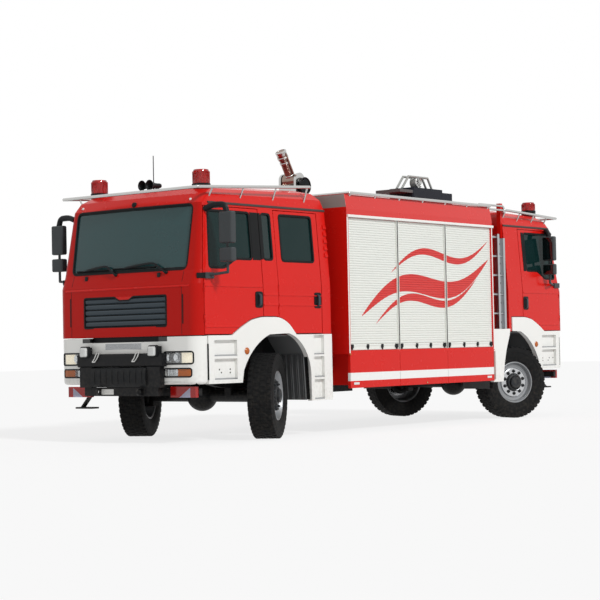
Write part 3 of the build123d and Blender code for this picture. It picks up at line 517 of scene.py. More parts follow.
def lathe_into(bm, profile, place, steps=48):
    """Turn a closed profile of (radius, along) about the local Y axis."""
    rings, size = [], len(profile)
    for k in range(steps):
        turn = 2 * math.pi * k / steps
        across, up_by = math.sin(turn), math.cos(turn)
        rings.append([bm.verts.new(place @ Vector((r * across, along, r * up_by))) for r, along in profile])
    for k in range(steps):
        first, second = rings[k], rings[(k + 1) % steps]
        for i in range(size):
            j = (i + 1) % size
            if max(profile[i][0], profile[j][0]) > 1e-6:
                bm.faces.new((first[i], first[j], second[j], second[i]))
    bmesh.ops.remove_doubles(bm, verts=[v for ring in rings for v in ring], dist=1e-6)


def stud_into(bm, radius, low, high, place, steps):
    """A short round stud between two levels, in metres."""
    lathe_into(bm, [(0, low), (radius, low), (radius, high), (0, high)], place, steps)


def aim(point, direction):
    """A place whose Y axis points along a direction, for turned shapes."""
    return Matrix.Translation(point) @ direction.to_track_quat("Y", "Z").to_matrix().to_4x4()


def meshes(count):
    return [bmesh.new() for _ in range(count)]


def merge(bm, mesh):
    """Add a mesh to a bmesh and drop it."""
    bm.from_mesh(mesh)
    bpy.data.meshes.remove(mesh)


print("shape helpers ready")

# %% [markdown]
# A piece is an object at the origin that rides on one body. It names the CAD nodes that it stands for where
# it replaces them, and hides them.

# %% Pieces
def make_mesh(name, bm, material, angle=35):
    """A mesh from a bmesh, faces outwards, smooth except at sharp edges."""
    bmesh.ops.recalc_face_normals(bm, faces=bm.faces)
    mesh = bpy.data.meshes.new(name)
    bm.to_mesh(mesh)
    bm.free()
    mesh.materials.append(material)
    mesh.polygons.foreach_set("use_smooth", [True] * len(mesh.polygons))
    mesh.set_sharp_from_angle(angle=math.radians(angle))
    return mesh


def piece(name, mesh, slot, body="truck", *stands_for):
    """An object for a mesh, riding on a body and standing for CAD nodes where named."""
    thing = new_object(name, mesh)
    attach(thing, body)
    if stands_for:
        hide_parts(*stands_for)
    return thing


def fitting(name, bm, material, slot, body="truck", *stands_for, angle=35):
    """A piece straight from a bmesh."""
    return piece(name, make_mesh(name, bm, material, angle), slot, body, *stands_for)


def evaluated_mesh(thing):
    """The object's mesh after its modifiers."""
    graph = bpy.context.evaluated_depsgraph_get()
    return bpy.data.meshes.new_from_object(thing.evaluated_get(graph), depsgraph=graph)


print("piece helpers ready")

# %% [markdown]
# ## Repeats with Geometry Nodes
# Treads, slats, nuts and louvres are one shape repeated along a line or round an axle. Two node trees do
# this: the object's own mesh is the shape, named inputs give the count and the step, and the result is
# realised and given its finish so that it can become a plain mesh.

# %% Trees for rows and rings
def repeat_tree(name, *inputs):
    given = (("Geometry", GEOMETRY, None), ("Count", COUNT, 5), *inputs, ("Finish", FINISH, None))
    return node_group(name, "GeometryNodeTree", given, (("Geometry", GEOMETRY),))


def close_tree(tree, given, out, copies):
    """Realise the copies, give them their finish and hand them out."""
    real = put(tree, "GeometryNodeRealizeInstances", {"Geometry": copies})
    dressed = put(tree, "GeometryNodeSetMaterial",
                  {"Geometry": real.outputs[0], "Material": given.outputs["Finish"]})
    tree.links.new(dressed.outputs[0], out.inputs[0])
    return tree


def row_tree():
    tree, given, out = repeat_tree("Row Of Copies", ("Step", VECTOR, (0, 0, 0.03)))
    line = put(tree, "GeometryNodeMeshLine",
               {"Count": given.outputs["Count"], "Offset": given.outputs["Step"]})
    copies = put(tree, "GeometryNodeInstanceOnPoints",
                 {"Points": line.outputs[0], "Instance": given.outputs["Geometry"]})
    return close_tree(tree, given, out, copies.outputs[0])


def ring_tree():
    tree, given, out = repeat_tree("Ring Of Copies", ("Place", VECTOR, (0, 0, 0)),
                                   ("Turn", VECTOR, (0, 0, 0)))
    line = put(tree, "GeometryNodeMeshLine", {"Count": given.outputs["Count"], "Offset": (0.0, 0.0, 0.0)})
    share = calc(tree, "DIVIDE", put(tree, "GeometryNodeInputIndex").outputs[0], given.outputs["Count"])
    angle = put(tree, "ShaderNodeCombineXYZ", {"Y": calc(tree, "MULTIPLY", share, 2 * math.pi)}).outputs[0]
    copies = put(tree, "GeometryNodeInstanceOnPoints",
                 {"Points": line.outputs[0], "Instance": given.outputs["Geometry"], "Rotation": angle})
    set_down = put(tree, "GeometryNodeTransform",
                   {"Geometry": copies.outputs[0], "Translation": given.outputs["Place"],
                    "Rotation": given.outputs["Turn"]})
    return close_tree(tree, given, out, set_down.outputs[0])


ROW, RING = row_tree(), ring_tree()


def repeated(name, tree, bm, material, **values):
    """Run a repeat tree on a shape and return the result as a plain mesh."""
    thing = new_object(name, make_mesh(name, bm, material))
    modifier = thing.modifiers.new("repeat", "NODES")
    modifier.node_group = tree
    values["Finish"] = material
    for item in tree.interface.items_tree:
        if item.in_out == "INPUT" and item.name in values:
            modifier[item.identifier] = values[item.name]
    mesh = evaluated_mesh(thing)
    bpy.data.objects.remove(thing)
    return mesh


def row(name, bm, material, slot, count, step, *stands_for):
    """A piece made of one shape repeated along a line."""
    return piece(name, repeated(name, ROW, bm, material, Count=count, Step=tuple(step)), slot, "truck",
                 *stands_for)


print("trees", ROW.name, RING.name)

# %% [markdown]
# ## Tyres and wheels
# Each tyre is a turned carcass with a ring of rubber lugs: two shoulder rows that bite round the edge and
# two staggered middle rows. The wheel inside has a silver well, a polished disc with ten nuts and a dark hub.
# Everything is drawn about the kingpin, then turned to the rest angle of that corner.

# %% Tyres
CORNERS = {
    # axle x, side, rest angle in degrees
    "front_left": (FRONT_AXLE, 1, 28), "front_right": (FRONT_AXLE, -1, 28),
    "rear_left": (REAR_AXLE, 1, -25), "rear_right": (REAR_AXLE, -1, -25),
}
KINGPIN_Y, TYRE_R = 0.920, 0.515
CARCASS = (
    # radius, distance out from the kingpin
    (296.5, -27), (345, -46), (400, -50), (470, -49.5), (498, -40), (506, -22), (508, 8), (508.5, 100),
    (508, 192),
    (506, 222), (498, 240), (470, 249.5), (447, 250), (444, 253), (432, 253), (429, 250), (400, 250),
    (345, 246),
    (318, 238), (296.5, 227),
)
TREAD_ROWS = (
    # lateral from, to, low radius, pitch share, stagger
    (-43, 10, 484, 0.70, 0.0), (20, 94, 502, 0.74, 0.5), (106, 180, 502, 0.74, 0.0),
    (190, 243, 484, 0.70, 0.5),
)
LUG_TOP, PITCHES = 513.2, 44


def wheel_ring(name, corner, bm, material, count):
    """Copies of a shape all round a wheel, as a mesh."""
    axle, side, degrees = CORNERS[corner]
    return repeated(name, RING, bm, material, Count=count, Place=(axle, side * KINGPIN_Y, TYRE_R),
                    Turn=(0, 0, math.radians(degrees)))


def turned(profile, corner, steps=72):
    """A profile turned about a wheel's axle, as a bmesh."""
    axle, side, degrees = CORNERS[corner]
    bm = bmesh.new()
    place = Matrix.Translation((axle, side * KINGPIN_Y, TYRE_R)) @ Matrix.Rotation(math.radians(degrees), 4,
            "Z")
    lathe_into(bm, mm(profile, side), place, steps)
    return bm


def tread_lugs(side):
    """One pitch of the tread, lugs standing round the local Y axis."""
    bm, pitch = bmesh.new(), 2 * math.pi / PITCHES
    for start, end, low, share, stagger in TREAD_ROWS:
        lug, part = bmesh.new(), bpy.data.meshes.new("lug")
        half = LUG_TOP * pitch * share / 2000
        box_into(lug, (-half, side * start / 1000, low / 1000), (half, side * end / 1000, LUG_TOP / 1000),
                 0.006, 1)
        lug.transform(Matrix.Rotation(stagger * pitch, 4, "Y"))
        lug.to_mesh(part)
        lug.free()
        merge(bm, part)
    return bm


for corner, (axle, side, degrees) in CORNERS.items():
    lugs = wheel_ring("tread", corner, tread_lugs(side), tyre_rubber, PITCHES)
    bm = turned(CARCASS, corner)
    merge(bm, lugs)
    fitting(f"tyre_with_tread_{corner}", bm, tyre_rubber, "tyre", f"wheel_{corner}", f"tyre_{corner}",
            angle=28)
print("tyres with", PITCHES * len(TREAD_ROWS), "lugs each")

# %% Wheels
RIM_RING = ((296, -27), (296, 227), (290, 231), (280, 230), (274, 222), (266, 196), (256, 172), (238, 168),
            (204, 172), (204, 156), (244, 152), (262, 130), (266, 20), (276, -20))
DISC = ((212, 172), (206, 190), (196, 196), (132, 197), (120, 190), (112, 160), (204, 158))
HUB = ((0, 100), (118, 100), (118, 214), (112, 226), (96, 230), (92, 222), (84, 222), (82, 252), (74, 260),
       (40, 262), (34, 256), (0, 256))
NUTS, NUT_R = 10, 160
NUT_PARTS = (
    # sides, profile: a washer, a six-sided nut and the stud's end
    (12, ((0, 194), (26, 194), (26, 199), (22, 201), (0, 201))),
    (6, ((0, 200), (19, 200), (19, 218), (16, 221), (0, 221))),
    (8, ((0, 220), (10, 220), (10, 232), (8, 234), (0, 234))),
)
for corner, (axle, side, degrees) in CORNERS.items():
    body = f"wheel_{corner}"
    fitting(f"rim_ring_{corner}", turned(RIM_RING, corner), rim_well, "wheel_steel", body, f"rim_{corner}",
            angle=30)
    fitting(f"rim_disc_{corner}", turned(DISC, corner), rim_steel, "wheel_steel", body, angle=30)
    fitting(f"wheel_hub_{corner}", turned(HUB, corner, 48), hub_black, "chassis_black", body, angle=30)
    nut = bmesh.new()
    for sides, profile in NUT_PARTS:
        lathe_into(nut, mm(profile, side), Matrix.Translation((0, 0, NUT_R / 1000)), sides)
    name = f"wheel_nuts_{corner}"
    piece(name, wheel_ring(name, corner, nut, hub_black, NUTS), "wheel_steel", body)
print("wheels with", NUTS, "nuts each")

# %% [markdown]
# ## Roller shutters
# The equipment body is closed by three roller shutters on each side. A shutter is a curtain of narrow hinged
# aluminium slats, lacquered off-white, so one slat section repeated upwards gives the fine level lines of the
# photograph. Across them wave plain red ribbons, a simple design of this truck's own: each ribbon is a mask
# from a waving middle line and a width that tapers to nothing at both ends.

# %% Ribbon mask
RIBBONS = (
    # start x, end x, low z, high z, wave height, half width, in metres
    (1.10, -1.92, 1.46, 2.26, 0.20, 0.125),
    (0.80, -1.60, 1.36, 1.98, 0.17, 0.055),
    (0.45, -1.92, 2.02, 2.52, 0.16, 0.050),
)


def sine_of(tree, value, turns):
    return calc(tree, "SINE", calc(tree, "MULTIPLY", value, turns * math.pi))


def ribbon_group():
    """A mask of waving ribbons; each swings once below and once above its straight line and tapers to its ends."""
    tree, given, out = shader_group("Waving Ribbons", (), (("Mask", FLOAT),))
    axes = put(tree, "ShaderNodeSeparateXYZ", {0: object_place(tree)})
    along_x, height = axes.outputs[0], axes.outputs[2]
    mask = 0.0
    for start, end, low, high, wave, width in RIBBONS:
        t = put(tree, "ShaderNodeMapRange",
                {"Value": along_x, "From Min": start, "From Max": end}).outputs["Result"]
        wave_by = calc(tree, "MULTIPLY", sine_of(tree, t, 2), wave)
        middle = calc(tree, "ADD", calc(tree, "MULTIPLY_ADD", t, high - low, low), wave_by)
        half = calc(tree, "MULTIPLY", calc(tree, "POWER", sine_of(tree, t, 1), 0.7), width)
        away = calc(tree, "ABSOLUTE", calc(tree, "SUBTRACT", height, middle))
        mask = calc(tree, "MAXIMUM", mask, smooth_step(tree, calc(tree, "SUBTRACT", half, away), 0.0, 0.004))
    tree.links.new(mask, out.inputs["Mask"])
    return tree


RIBBON_MASK = ribbon_group()


def ribbon_mask(tree):
    return put(tree, "ShaderNodeGroup", node_tree=RIBBON_MASK).outputs["Mask"]


def painted_over(name, base, mask_maker, second):
    """A copy of a finish with a second colour where a mask says so."""
    material = base.copy()
    material.name = name
    tree = material.node_tree
    shader = tree.nodes["Principled BSDF"]
    first = shader.inputs["Base Color"].links[0].from_socket
    tree.links.new(blend_colour(tree, mask_maker(tree), first, second), shader.inputs["Base Color"])
    return material


shutter_lacquer = finish("shutter_lacquer", (230, 232, 226), 0.42, streaks=((260.0, 260.0, 3.0), 0.06),
                         patches=0.05, dust=0.1)
ribbon_lacquer = painted_over("ribboned_shutter_lacquer", shutter_lacquer, ribbon_mask, srgb(208, 44, 40))
print("ribbons", len(RIBBONS))

# %% [markdown]
# Each curtain ends in a lift bar: a drawn aluminium section with a finger groove. Black catches at its ends
# lock into the guide rails, and two more catches sit between them.

# %% Slats, lift bars and catches
SHUTTER_X = ((-2415, -1375), (-3533, -2455), (-4705, -3574))
SHUTTERS = [(side, back, front) for side in SIDES for back, front in SHUTTER_X]
SLAT_LOW, SLAT_PITCH, SLATS = 1114, 30.6, 52
SLAT = (
    # y, height above the slat's foot
    (1236, 0), (1251, 0), (1255, 2), (1258.5, 9), (1259, 15), (1258.5, 22), (1255, 28.5), (1251, 30.6),
    (1236, 30.6),
)
LIFT_BAR = (
    # y, z
    (1236, 1034), (1262, 1034), (1266, 1038), (1266, 1052), (1258, 1058), (1258, 1086), (1264, 1090),
    (1264, 1106),
    (1260, 1112), (1236, 1112),
)
CATCHES = (
    # share of the shutter's width from its front, half width
    (0.035, 34), (0.36, 24), (0.66, 24), (0.965, 34),
)
slat, bars, catches = meshes(3)
for side, back, front in SHUTTERS:
    skin_into(slat, [[body_spot(x, side * y, SLAT_LOW + z) for y, z in SLAT] for x in (back, front)])
    skin_into(bars, [[body_spot(x, side * y, z) for y, z in LIFT_BAR] for x in (back + 2, front - 2)])
    for share, half in CATCHES:
        x = front - (front - back) * share
        box_into(catches, body_spot(x - half, side * 1256, 1060), body_spot(x + half, side * 1273, 1108),
                 0.006)
        box_into(catches, body_spot(x - half * 0.4, side * 1258, 1040),
                 body_spot(x + half * 0.7, side * 1277, 1066), 0.007)
row("shutter_slats", slat, ribbon_lacquer, "shutter_aluminium", SLATS, (0, 0, SLAT_PITCH / 1000), "shutters")
fitting("shutter_lift_bars", bars, shutter_lacquer, "shutter_aluminium")
fitting("shutter_catches", catches, black_plastic, "black_plastic")
print("slats", SLATS, "in each of", len(SHUTTERS), "shutters")

# %% [markdown]
# Around the shutters the body is red sheet. The posts between them are off-white with a dark line down the
# middle, a white drip rail keeps rain off the slats, the upper part of the front wall is grey, and a white
# stripe runs along the skirt. Painted lines are masks in the paint, because on the real truck they have no
# thickness; the drip rail is a real section. The quarter windows are tinted like the doors by a mask, too.

# %% Masks
POSTS_X = (0.300, -0.8185)
POST_HALF, LINE_HALF = 0.026, 0.011


def place_axis(tree, axis):
    return put(tree, "ShaderNodeSeparateXYZ", {0: object_place(tree)}).outputs["XYZ".index(axis)]


def off_middle(tree):
    """How far a point is from the truck's middle plane."""
    return calc(tree, "ABSOLUTE", place_axis(tree, "Y"))


def above(tree, value, edge, soft=0.001):
    return smooth_step(tree, value, edge - soft, edge + soft)


def below(tree, value, edge, soft=0.001):
    return calc(tree, "SUBTRACT", 1.0, above(tree, value, edge, soft))


def stripe_mask(tree):
    z = place_axis(tree, "Z")
    return calc(tree, "SUBTRACT", above(tree, z, 0.650), above(tree, z, 0.752))


def post_mask(half_width):
    """A mask of the upright posts between the shutters, or of a narrow line down their middles."""
    def mask(tree):
        near = 0.0
        for post in POSTS_X:
            away = calc(tree, "ABSOLUTE", calc(tree, "SUBTRACT", place_axis(tree, "X"), post))
            near = calc(tree, "MAXIMUM", near, below(tree, away, half_width))
        return calc(tree, "MULTIPLY", near, above(tree, off_middle(tree), 1.228))
    return mask


def locker_front_mask(tree):
    return above(tree, place_axis(tree, "X"), 1.330)


def inner_face_mask(tree):
    """The hidden inside of the sheet round the wheel wells, which is black."""
    return calc(tree, "MULTIPLY", below(tree, off_middle(tree), 1.118),
                below(tree, place_axis(tree, "Z"), 1.50))


def bumper_gap_shade_mask(tree):
    """The inner ends of the bumper's shoulders lie in the dark gap under the cab; their black there is painted
    shade.
    """
    return calc(tree, "MULTIPLY", below(tree, off_middle(tree), 0.690),
                above(tree, place_axis(tree, "Z"), 1.188))


def front_band_mask(tree):
    return calc(tree, "MULTIPLY", above(tree, place_axis(tree, "X"), 1.3935),
                above(tree, place_axis(tree, "Z"), 2.835))


def quarter_mask(tree):
    return above(tree, off_middle(tree), 1.02)


print("masks ready")

# %% Painted panels and drip rails
posts = painted_over("body_red_with_posts", red_paint, post_mask(POST_HALF), srgb(226, 228, 222))
PAINTED = {
    "side_skirts": ("skirt_red_with_stripe", red_paint, stripe_mask, srgb(236, 238, 236)),
    "body_walls": ("body_red_with_lined_posts", posts, post_mask(LINE_HALF), srgb(50, 50, 50)),
    "underbody_lockers": ("lockers_with_red_front", chassis_black, locker_front_mask, srgb(*RED)),
    "cab_side_panels": ("cab_red_with_black_wells", red_paint, inner_face_mask, srgb(*WELL_BLACK_AND_GAP_SHADE)),
    "bumpers": ("bumper_white_with_painted_gap_shade", white_paint, bumper_gap_shade_mask, srgb(*WELL_BLACK_AND_GAP_SHADE)),
    "body_roof": ("body_red_with_front_band", red_paint, front_band_mask, srgb(150, 146, 142)),
    "fixed_glass": ("fixed_glass_dark_at_the_sides", screen_glass, quarter_mask, SIDE_TINT),
}


def repaint(node, *paint):
    NODES[node].data.materials[0] = painted_over(*paint)
    return NODES[node].data.materials[0].node_tree.nodes["Principled BSDF"]


shaders = {node: repaint(node, *paint) for node, paint in PAINTED.items()}
shaders["body_roof"].inputs["Coat Weight"].default_value = 0.6
drip = bmesh.new()
for side in SIDES:
    outward = Vector((0, side, 0))
    path = [body_spot(x, side * 1274, 2722) for x in (-1346, -4752)]
    sweep_into(drip, path, flat_bar(0.034, 0.022, 0.004), outward)
    for x in (-1352, -4728):
        path = [body_spot(x, side * 1274, z) for z in (1000, 2705)]
        sweep_into(drip, path, flat_bar(0.020, 0.006, 0.003), outward)
fitting("drip_rails", drip, white_paint, "white_paint")
print("painted", list(PAINTED))

# %% [markdown]
# ## Cab trim
# Trim follows the cab's skin, which leans in towards the roof and bows out at the front. The skin is read from
# the same few levels that the solid was made from: height, half width, nose, bow and corner radius. Rubber
# gaskets hold the glass, black covers hide the door pillars, and every door has a pull handle.

# %% Where the cab's skin is
CAB_LEVELS = (
    # height, half width, nose, bow of the front, corner radius
    (1250, 1140, 1350, 25, 140), (1840, 1140, 1346, 28, 130), (2000, 1128, 1300, 38, 110),
    (2780, 1066, 1182, 46, 90),
    (2890, 1022, 1120, 46, 100), (2960, 930, 1020, 46, 120), (2995, 760, 850, 46, 140),
)
BUMPER_CURVE = (965, 1370, 30, 170)


def cab_level(z):
    """Half width, nose, bow and corner radius at a height."""
    for low, high in zip(CAB_LEVELS, CAB_LEVELS[1:]):
        if z <= high[0]:
            break
    t = (z - low[0]) / (high[0] - low[0])
    return [a + (b - a) * t for a, b in zip(low[1:], high[1:])]


def bowed(y, flat, nose, bow, corner):
    """How far forward a bowed face with round corners reaches at y."""
    if abs(y) <= flat:
        return nose - bow * (y / flat) ** 2
    return nose - bow - corner + math.sqrt(max(corner ** 2 - (abs(y) - flat) ** 2, 0))


def side_y(z):
    return cab_level(z)[0]


def front_x(y, z):
    half, nose, bow, corner = cab_level(z)
    return bowed(y, half - corner, nose, bow, corner)


def bumper_x(y):
    return bowed(y, *BUMPER_CURVE)


def on_side(cab, side, x, z, out=0):
    """A point on a cab's side, or a little out from it."""
    return cab(x, side * (side_y(z) + out), z)


def on_front(cab, y, z, out=0):
    """A point on a cab's front, or a little out from it."""
    return cab(front_x(y, z) + out, y, z)


def facing(cab, x, y, z):
    """A direction in a cab's own axes, as a unit vector of the truck."""
    return (cab(x, y, z) - cab(0, 0, 0)).normalized()


print("cab half width at the belt and the gutter:", side_y(1840), side_y(2780))

# %% Gaskets, pillar covers and creases
PANES = {
    # corners as x, z
    "driver": ((1098, 2025), (830, 2025), (620, 2135), (320, 2135), (320, 2690), (1056, 2690)),
    "crew": ((-235, 2130), (-860, 2130), (-860, 2690), (-235, 2690)),
    "quarter": ((105, 2140), (-65, 2140), (-65, 2690), (105, 2690)),
}
SCREEN = ((-930, 2010), (930, 2010), (940, 2765), (-940, 2765))
DOORS = {
    # body: kind of door, its cab, side in that cab
    "front_left_door": ("driver", front_cab, 1), "front_right_door": ("driver", front_cab, -1),
    "crew_left_door": ("crew", front_cab, 1), "crew_right_door": ("crew", front_cab, -1),
    "rear_left_door": ("driver", rear_cab, -1), "rear_right_door": ("driver", rear_cab, 1),
}
CREASES = {
    # z, x from, x to
    "driver": ((1815, 1190, 172), (1345, 1190, 600)), "crew": ((1720, -142, -968), (1600, -142, -968)),
    "quarter": ((1720, 144, -124), (1600, 144, -124)),
}
PILLAR_BACK, PILLAR_FRONT = {front_cab: 163, rear_cab: 240}, 306
GASKET, SCREEN_GASKET = flat_bar(0.026, 0.003, 0.018), flat_bar(0.020, 0.003, 0.018)
CREASE = [(-0.022, -0.002), (0.012, -0.002), (0.010, 0.006), (0.004, 0.0075)]
FRONT_CREASE = [(-0.012, -0.002), (0.012, -0.002), (0.006, 0.005), (-0.006, 0.005)]


def pane_trim(rubber, bead, kind, cab, side):
    """The gasket round a side window and the creases pressed into the panel below it."""
    outward = facing(cab, 0, side, 0)
    loop = [on_side(cab, side, p.x, p.z) for p in loop_of(PANES[kind], 45)]
    sweep_into(rubber, loop, GASKET, outward, closed=True)
    for z, x_from, x_to in CREASES[kind]:
        path = [on_side(cab, side, x, z) for x in span(x_from, x_to, 6)]
        sweep_into(bead, path, CREASE if side == 1 else [(-a, b) for a, b in CREASE[::-1]], outward)


def side_plate(bm, cab, side, x_back, x_front, low, high):
    corners = ((x_back, low), (x_front, low), (x_front, high), (x_back, high))
    plate_into(bm, [on_side(cab, side, x, z, -1) for x, z in corners], facing(cab, 0, side, 0) * 0.005)


for body, (kind, cab, side) in DOORS.items():
    rubber, bead = meshes(2)
    pane_trim(rubber, bead, kind, cab, side)
    if kind == "driver":
        side_plate(rubber, cab, side, PILLAR_BACK[cab], PILLAR_FRONT, 2130, 2697)
    fitting(f"{body}_gasket", rubber, black_rubber, "black_plastic", body)
    fitting(f"{body}_creases", bead, red_paint, "red_paint", body)

rubber, bead = meshes(2)
for side in SIDES:
    pane_trim(rubber, bead, "quarter", front_cab, side)
    side_plate(rubber, front_cab, side, 117, 149, 2140, 2695)
    edge = [on_side(front_cab, side, 150.3, z, out)
            for z, out in ((2140, -60), (2140, 4), (2695, 4), (2695, -60))]
    plate_into(rubber, edge, Vector((0.003, 0, 0)))
for cab in CABS.values():
    ahead_of_glass = facing(cab, 1, 0, 0.15)
    path = [on_front(cab, p.x, p.z) for p in fine_loop(SCREEN, 75, 90)]
    sweep_into(rubber, path, SCREEN_GASKET, ahead_of_glass, closed=True)
    for z, wide in ((2750, 0.024), (2024, 0.026)):
        path = [on_front(cab, y, z, -9) for y in span(-915, 915, 25)]
        sweep_into(rubber, path, flat_bar(wide, 0.004, 0.002), ahead_of_glass)
    path = [on_front(cab, y, 1818) for y in span(-1010, 1010, 31)]
    sweep_into(bead, path, FRONT_CREASE, facing(cab, 1, 0, 0))
fitting("fixed_window_gaskets", rubber, black_rubber, "black_plastic")
fitting("cab_creases", bead, red_paint, "red_paint")
print("gaskets on", len(DOORS), "doors")

# %% [markdown]
# Dark lines show where the corner panels meet the front panel, and a rubber gutter runs over the doors. The
# louvres in the crew cab's rear post let stale air out; they are one pressed lip, repeated five times.

# %% Seams, gutters and louvres
GUTTER_BACK, GUTTER_Z = {front_cab: -1146, rear_cab: -236}, 2782
SEAM_Y, SLOT_Y, CORNER_Z = 898, 915, 1930
LOUVRE_LOW, LOUVRE_STEP, LOUVRES = 2200, 88, 5
LOUVRE_LIP = ((-2, 0), (13, 2), (15, 8), (3, 52), (-2, 52))
dark, gutters = meshes(2)
half, nose, bow, corner = cab_level(CORNER_Z)
for cab, side in CAB_SIDES.values():
    forward, outward = facing(cab, 1, 0, 0), facing(cab, 0, side, 0)
    seam = [on_front(cab, side * SEAM_Y, z) for z in span(1262, 1990, 14)]
    sweep_into(dark, seam, flat_bar(0.005, 0.0012, 0.002), forward)
    slot = [on_front(cab, side * SLOT_Y, z) for z in span(1385, 1725, 8)]
    sweep_into(dark, slot, flat_bar(0.016, 0.0018, 0.002), forward)
    arc = [cab(nose - bow - corner + corner * math.sin(a), side * (half - corner + corner * math.cos(a)),
               CORNER_Z)
           for a in span(0.1, 0.95, 7)]
    sweep_into(dark, arc, flat_bar(0.062, 0.016, 0.004), facing(cab, 0.5, side, 0))
    gutter = [on_side(cab, side, x, GUTTER_Z, 1) for x in span(1040, GUTTER_BACK[cab], 12)]
    sweep_into(gutters, gutter, flat_bar(0.026, 0.012, 0.004), outward)
fitting("cab_seams", dark, black_rubber, "black_plastic")
fitting("cab_gutters", gutters, gutter_grey, "black_plastic")
lean = (side_y(LOUVRE_LOW + LOUVRE_STEP) - side_y(LOUVRE_LOW)) / 1000
for hand, side in HANDS.items():
    lip, y = bmesh.new(), side_y(LOUVRE_LOW)
    outline = [front_cab(-1144, side * (y + out), LOUVRE_LOW + z) for out, z in LOUVRE_LIP]
    plate_into(lip, outline, Vector((0.060, 0, 0)))
    row(f"post_louvres_{hand}", lip, red_paint, "red_paint", LOUVRES, (0, side * lean, LOUVRE_STEP / 1000))
print("louvres", LOUVRES, "a side")

# %% [markdown]
# ## Handles, mirrors and wipers
# Handles are pulls in a shallow black tray, upright at the back edge of each door. The mirrors' shells are
# part of the solid model, folded back on the rear cab. Tinted mirror glass is set into their rear faces, and
# a bent tube carries each pair. The wipers are parked along the bottom of the windscreen: a bent arm on a
# spindle and a long rubber blade.

# %% Door handles and mirrors
HANDLE_X = {"driver": 237, "crew": -889}
TRAY_HALF, HANDLE_LOW, HANDLE_HIGH = 69, 1564, 1756
TRAY = ((-TRAY_HALF, HANDLE_LOW), (TRAY_HALF, HANDLE_LOW), (TRAY_HALF, HANDLE_HIGH),
        (-TRAY_HALF, HANDLE_HIGH))
GRIP = ((1140, HANDLE_LOW + 26), (1170, HANDLE_LOW + 40), (1170, HANDLE_HIGH - 40), (1140, HANDLE_HIGH - 26))
GRIP_SECTION = mm(((-7, -18), (5, -18), (8, -10), (8, 10), (5, 18), (-7, 18)))
MIRROR_SPOTS = {front_cab: (1058, 1376), rear_cab: (792, 1232)}
MIRROR_Z = ((2306, 2634), (2094, 2226))
for body, (kind, cab, side) in DOORS.items():
    tray, grip, silver, arm = meshes(4)
    x = HANDLE_X[kind]
    outline = loop_of([(x + a, z) for a, z in TRAY], 34, 4)
    plate_into(tray, [cab(p.x, side * 1134, p.z) for p in outline], facing(cab, 0, side, 0) * 0.012)
    fitting(f"{body}_handle_tray", tray, black_plastic, "black_plastic", body)
    path = rounded([cab(x, side * y, z) for y, z in GRIP], 0.020)
    sweep_into(grip, path, GRIP_SECTION, facing(cab, 1, 0, 0))
    fitting(f"{body}_handle", grip, grille_grey, "black_plastic", body)
    if kind == "driver":
        head_x, head_y = MIRROR_SPOTS[cab]
        for low, high in MIRROR_Z:
            box_into(silver, cab(head_x - 49, side * (head_y - 82), low),
                     cab(head_x - 40, side * (head_y + 86), high), 0.003)
        fitting(f"{body}_mirror_glass", silver, mirror_glass, "glass", body)
        bend = ((1085, 1066, 2700), (head_x * 0.75 + 280, head_y * 0.55 + 440, 2744),
                (head_x, head_y - 30, 2736),
                (head_x, head_y, 2640))
        tube_into(arm, rounded([cab(a, side * b, z) for a, b, z in bend], 0.09), 0.034, 14)
        fitting(f"{body}_mirror_arm", arm, black_plastic, "black_plastic", body)
print("handles", len(DOORS))

# %% Wipers
WIPERS = (
    # spindle y, tip y, height of the blade
    (-156, -850, 2052), (640, -225, 2058),
)
SPINDLE_Z, TAB_Z, TABS = 1982, 1958, (-659, 533)
SPINDLE = mm(((0, 0), (20, 0), (20, 16), (14, 26), (0, 26)))
BLADE = mm(((-10, -12), (10, -12), (9, 4), (4, 12), (-4, 12), (-9, 4)))
arms, blades = meshes(2)
for cab in CABS.values():
    ahead_of_glass = facing(cab, 1, 0, 0.15)
    for start, tip, height in WIPERS:
        reach = tip - start
        bend = start + reach * 0.22
        lathe_into(arms, SPINDLE, aim(on_front(cab, start, SPINDLE_Z, -4), ahead_of_glass), 14)
        run = [(start, SPINDLE_Z, 18), (bend, height + 44, 26)]
        run += [(y, height + z, 24) for y, z in zip(span(bend, start + reach * 0.72, 4)[1:], (34, 20, 4))]
        path = rounded([on_front(cab, y, z, out) for y, z, out in run], 0.06)
        sweep_into(arms, path, flat_bar(0.024, 0.010, 0.003), ahead_of_glass)
        path = [on_front(cab, y, height - 2, 4) for y in span(start + reach * 0.2, tip, 14)]
        sweep_into(blades, path, BLADE, ahead_of_glass)
    for y in TABS:
        x = front_x(y, TAB_Z)
        box_into(arms, cab(x - 6, y - 24, 1930), cab(x + 14, y + 24, 1984), 0.008)
fitting("wiper_arms", arms, black_plastic, "black_plastic")
fitting("wiper_blades", blades, black_rubber, "black_plastic")
print("wipers", len(WIPERS), "a cab")

# %% [markdown]
# Small things on the header: two clearance lamps at the roof's front corners and a round dark cap between them.

# %% Header fittings
LAMP_Y, LAMP_Z, CAP_Y, CAP_Z = 880, 2822, 30, 2806
LAMP_DOME = mm(((0, -10), (17, -10), (16, 6), (10, 13), (0, 15)))
CAP = mm(((0, 0), (34, 0), (34, 12), (26, 24), (12, 27), (10, 22), (0, 22)))
small_lenses, cap = meshes(2)
for cab, side in CAB_SIDES.values():
    spot = cab(front_x(LAMP_Y, LAMP_Z), side * LAMP_Y, LAMP_Z)
    lathe_into(small_lenses, LAMP_DOME, aim(spot, facing(cab, 0.8, side * 0.3, 0.5)), 16)
for cab in CABS.values():
    lathe_into(cap, CAP, aim(on_front(cab, CAP_Y, CAP_Z, -4), facing(cab, 1, 0, 0.35)), 20)
fitting("clearance_lamps", small_lenses, lamp_white, "clear_lens")
fitting("header_caps", cap, black_plastic, "black_plastic")
print("header fittings on both cabs")

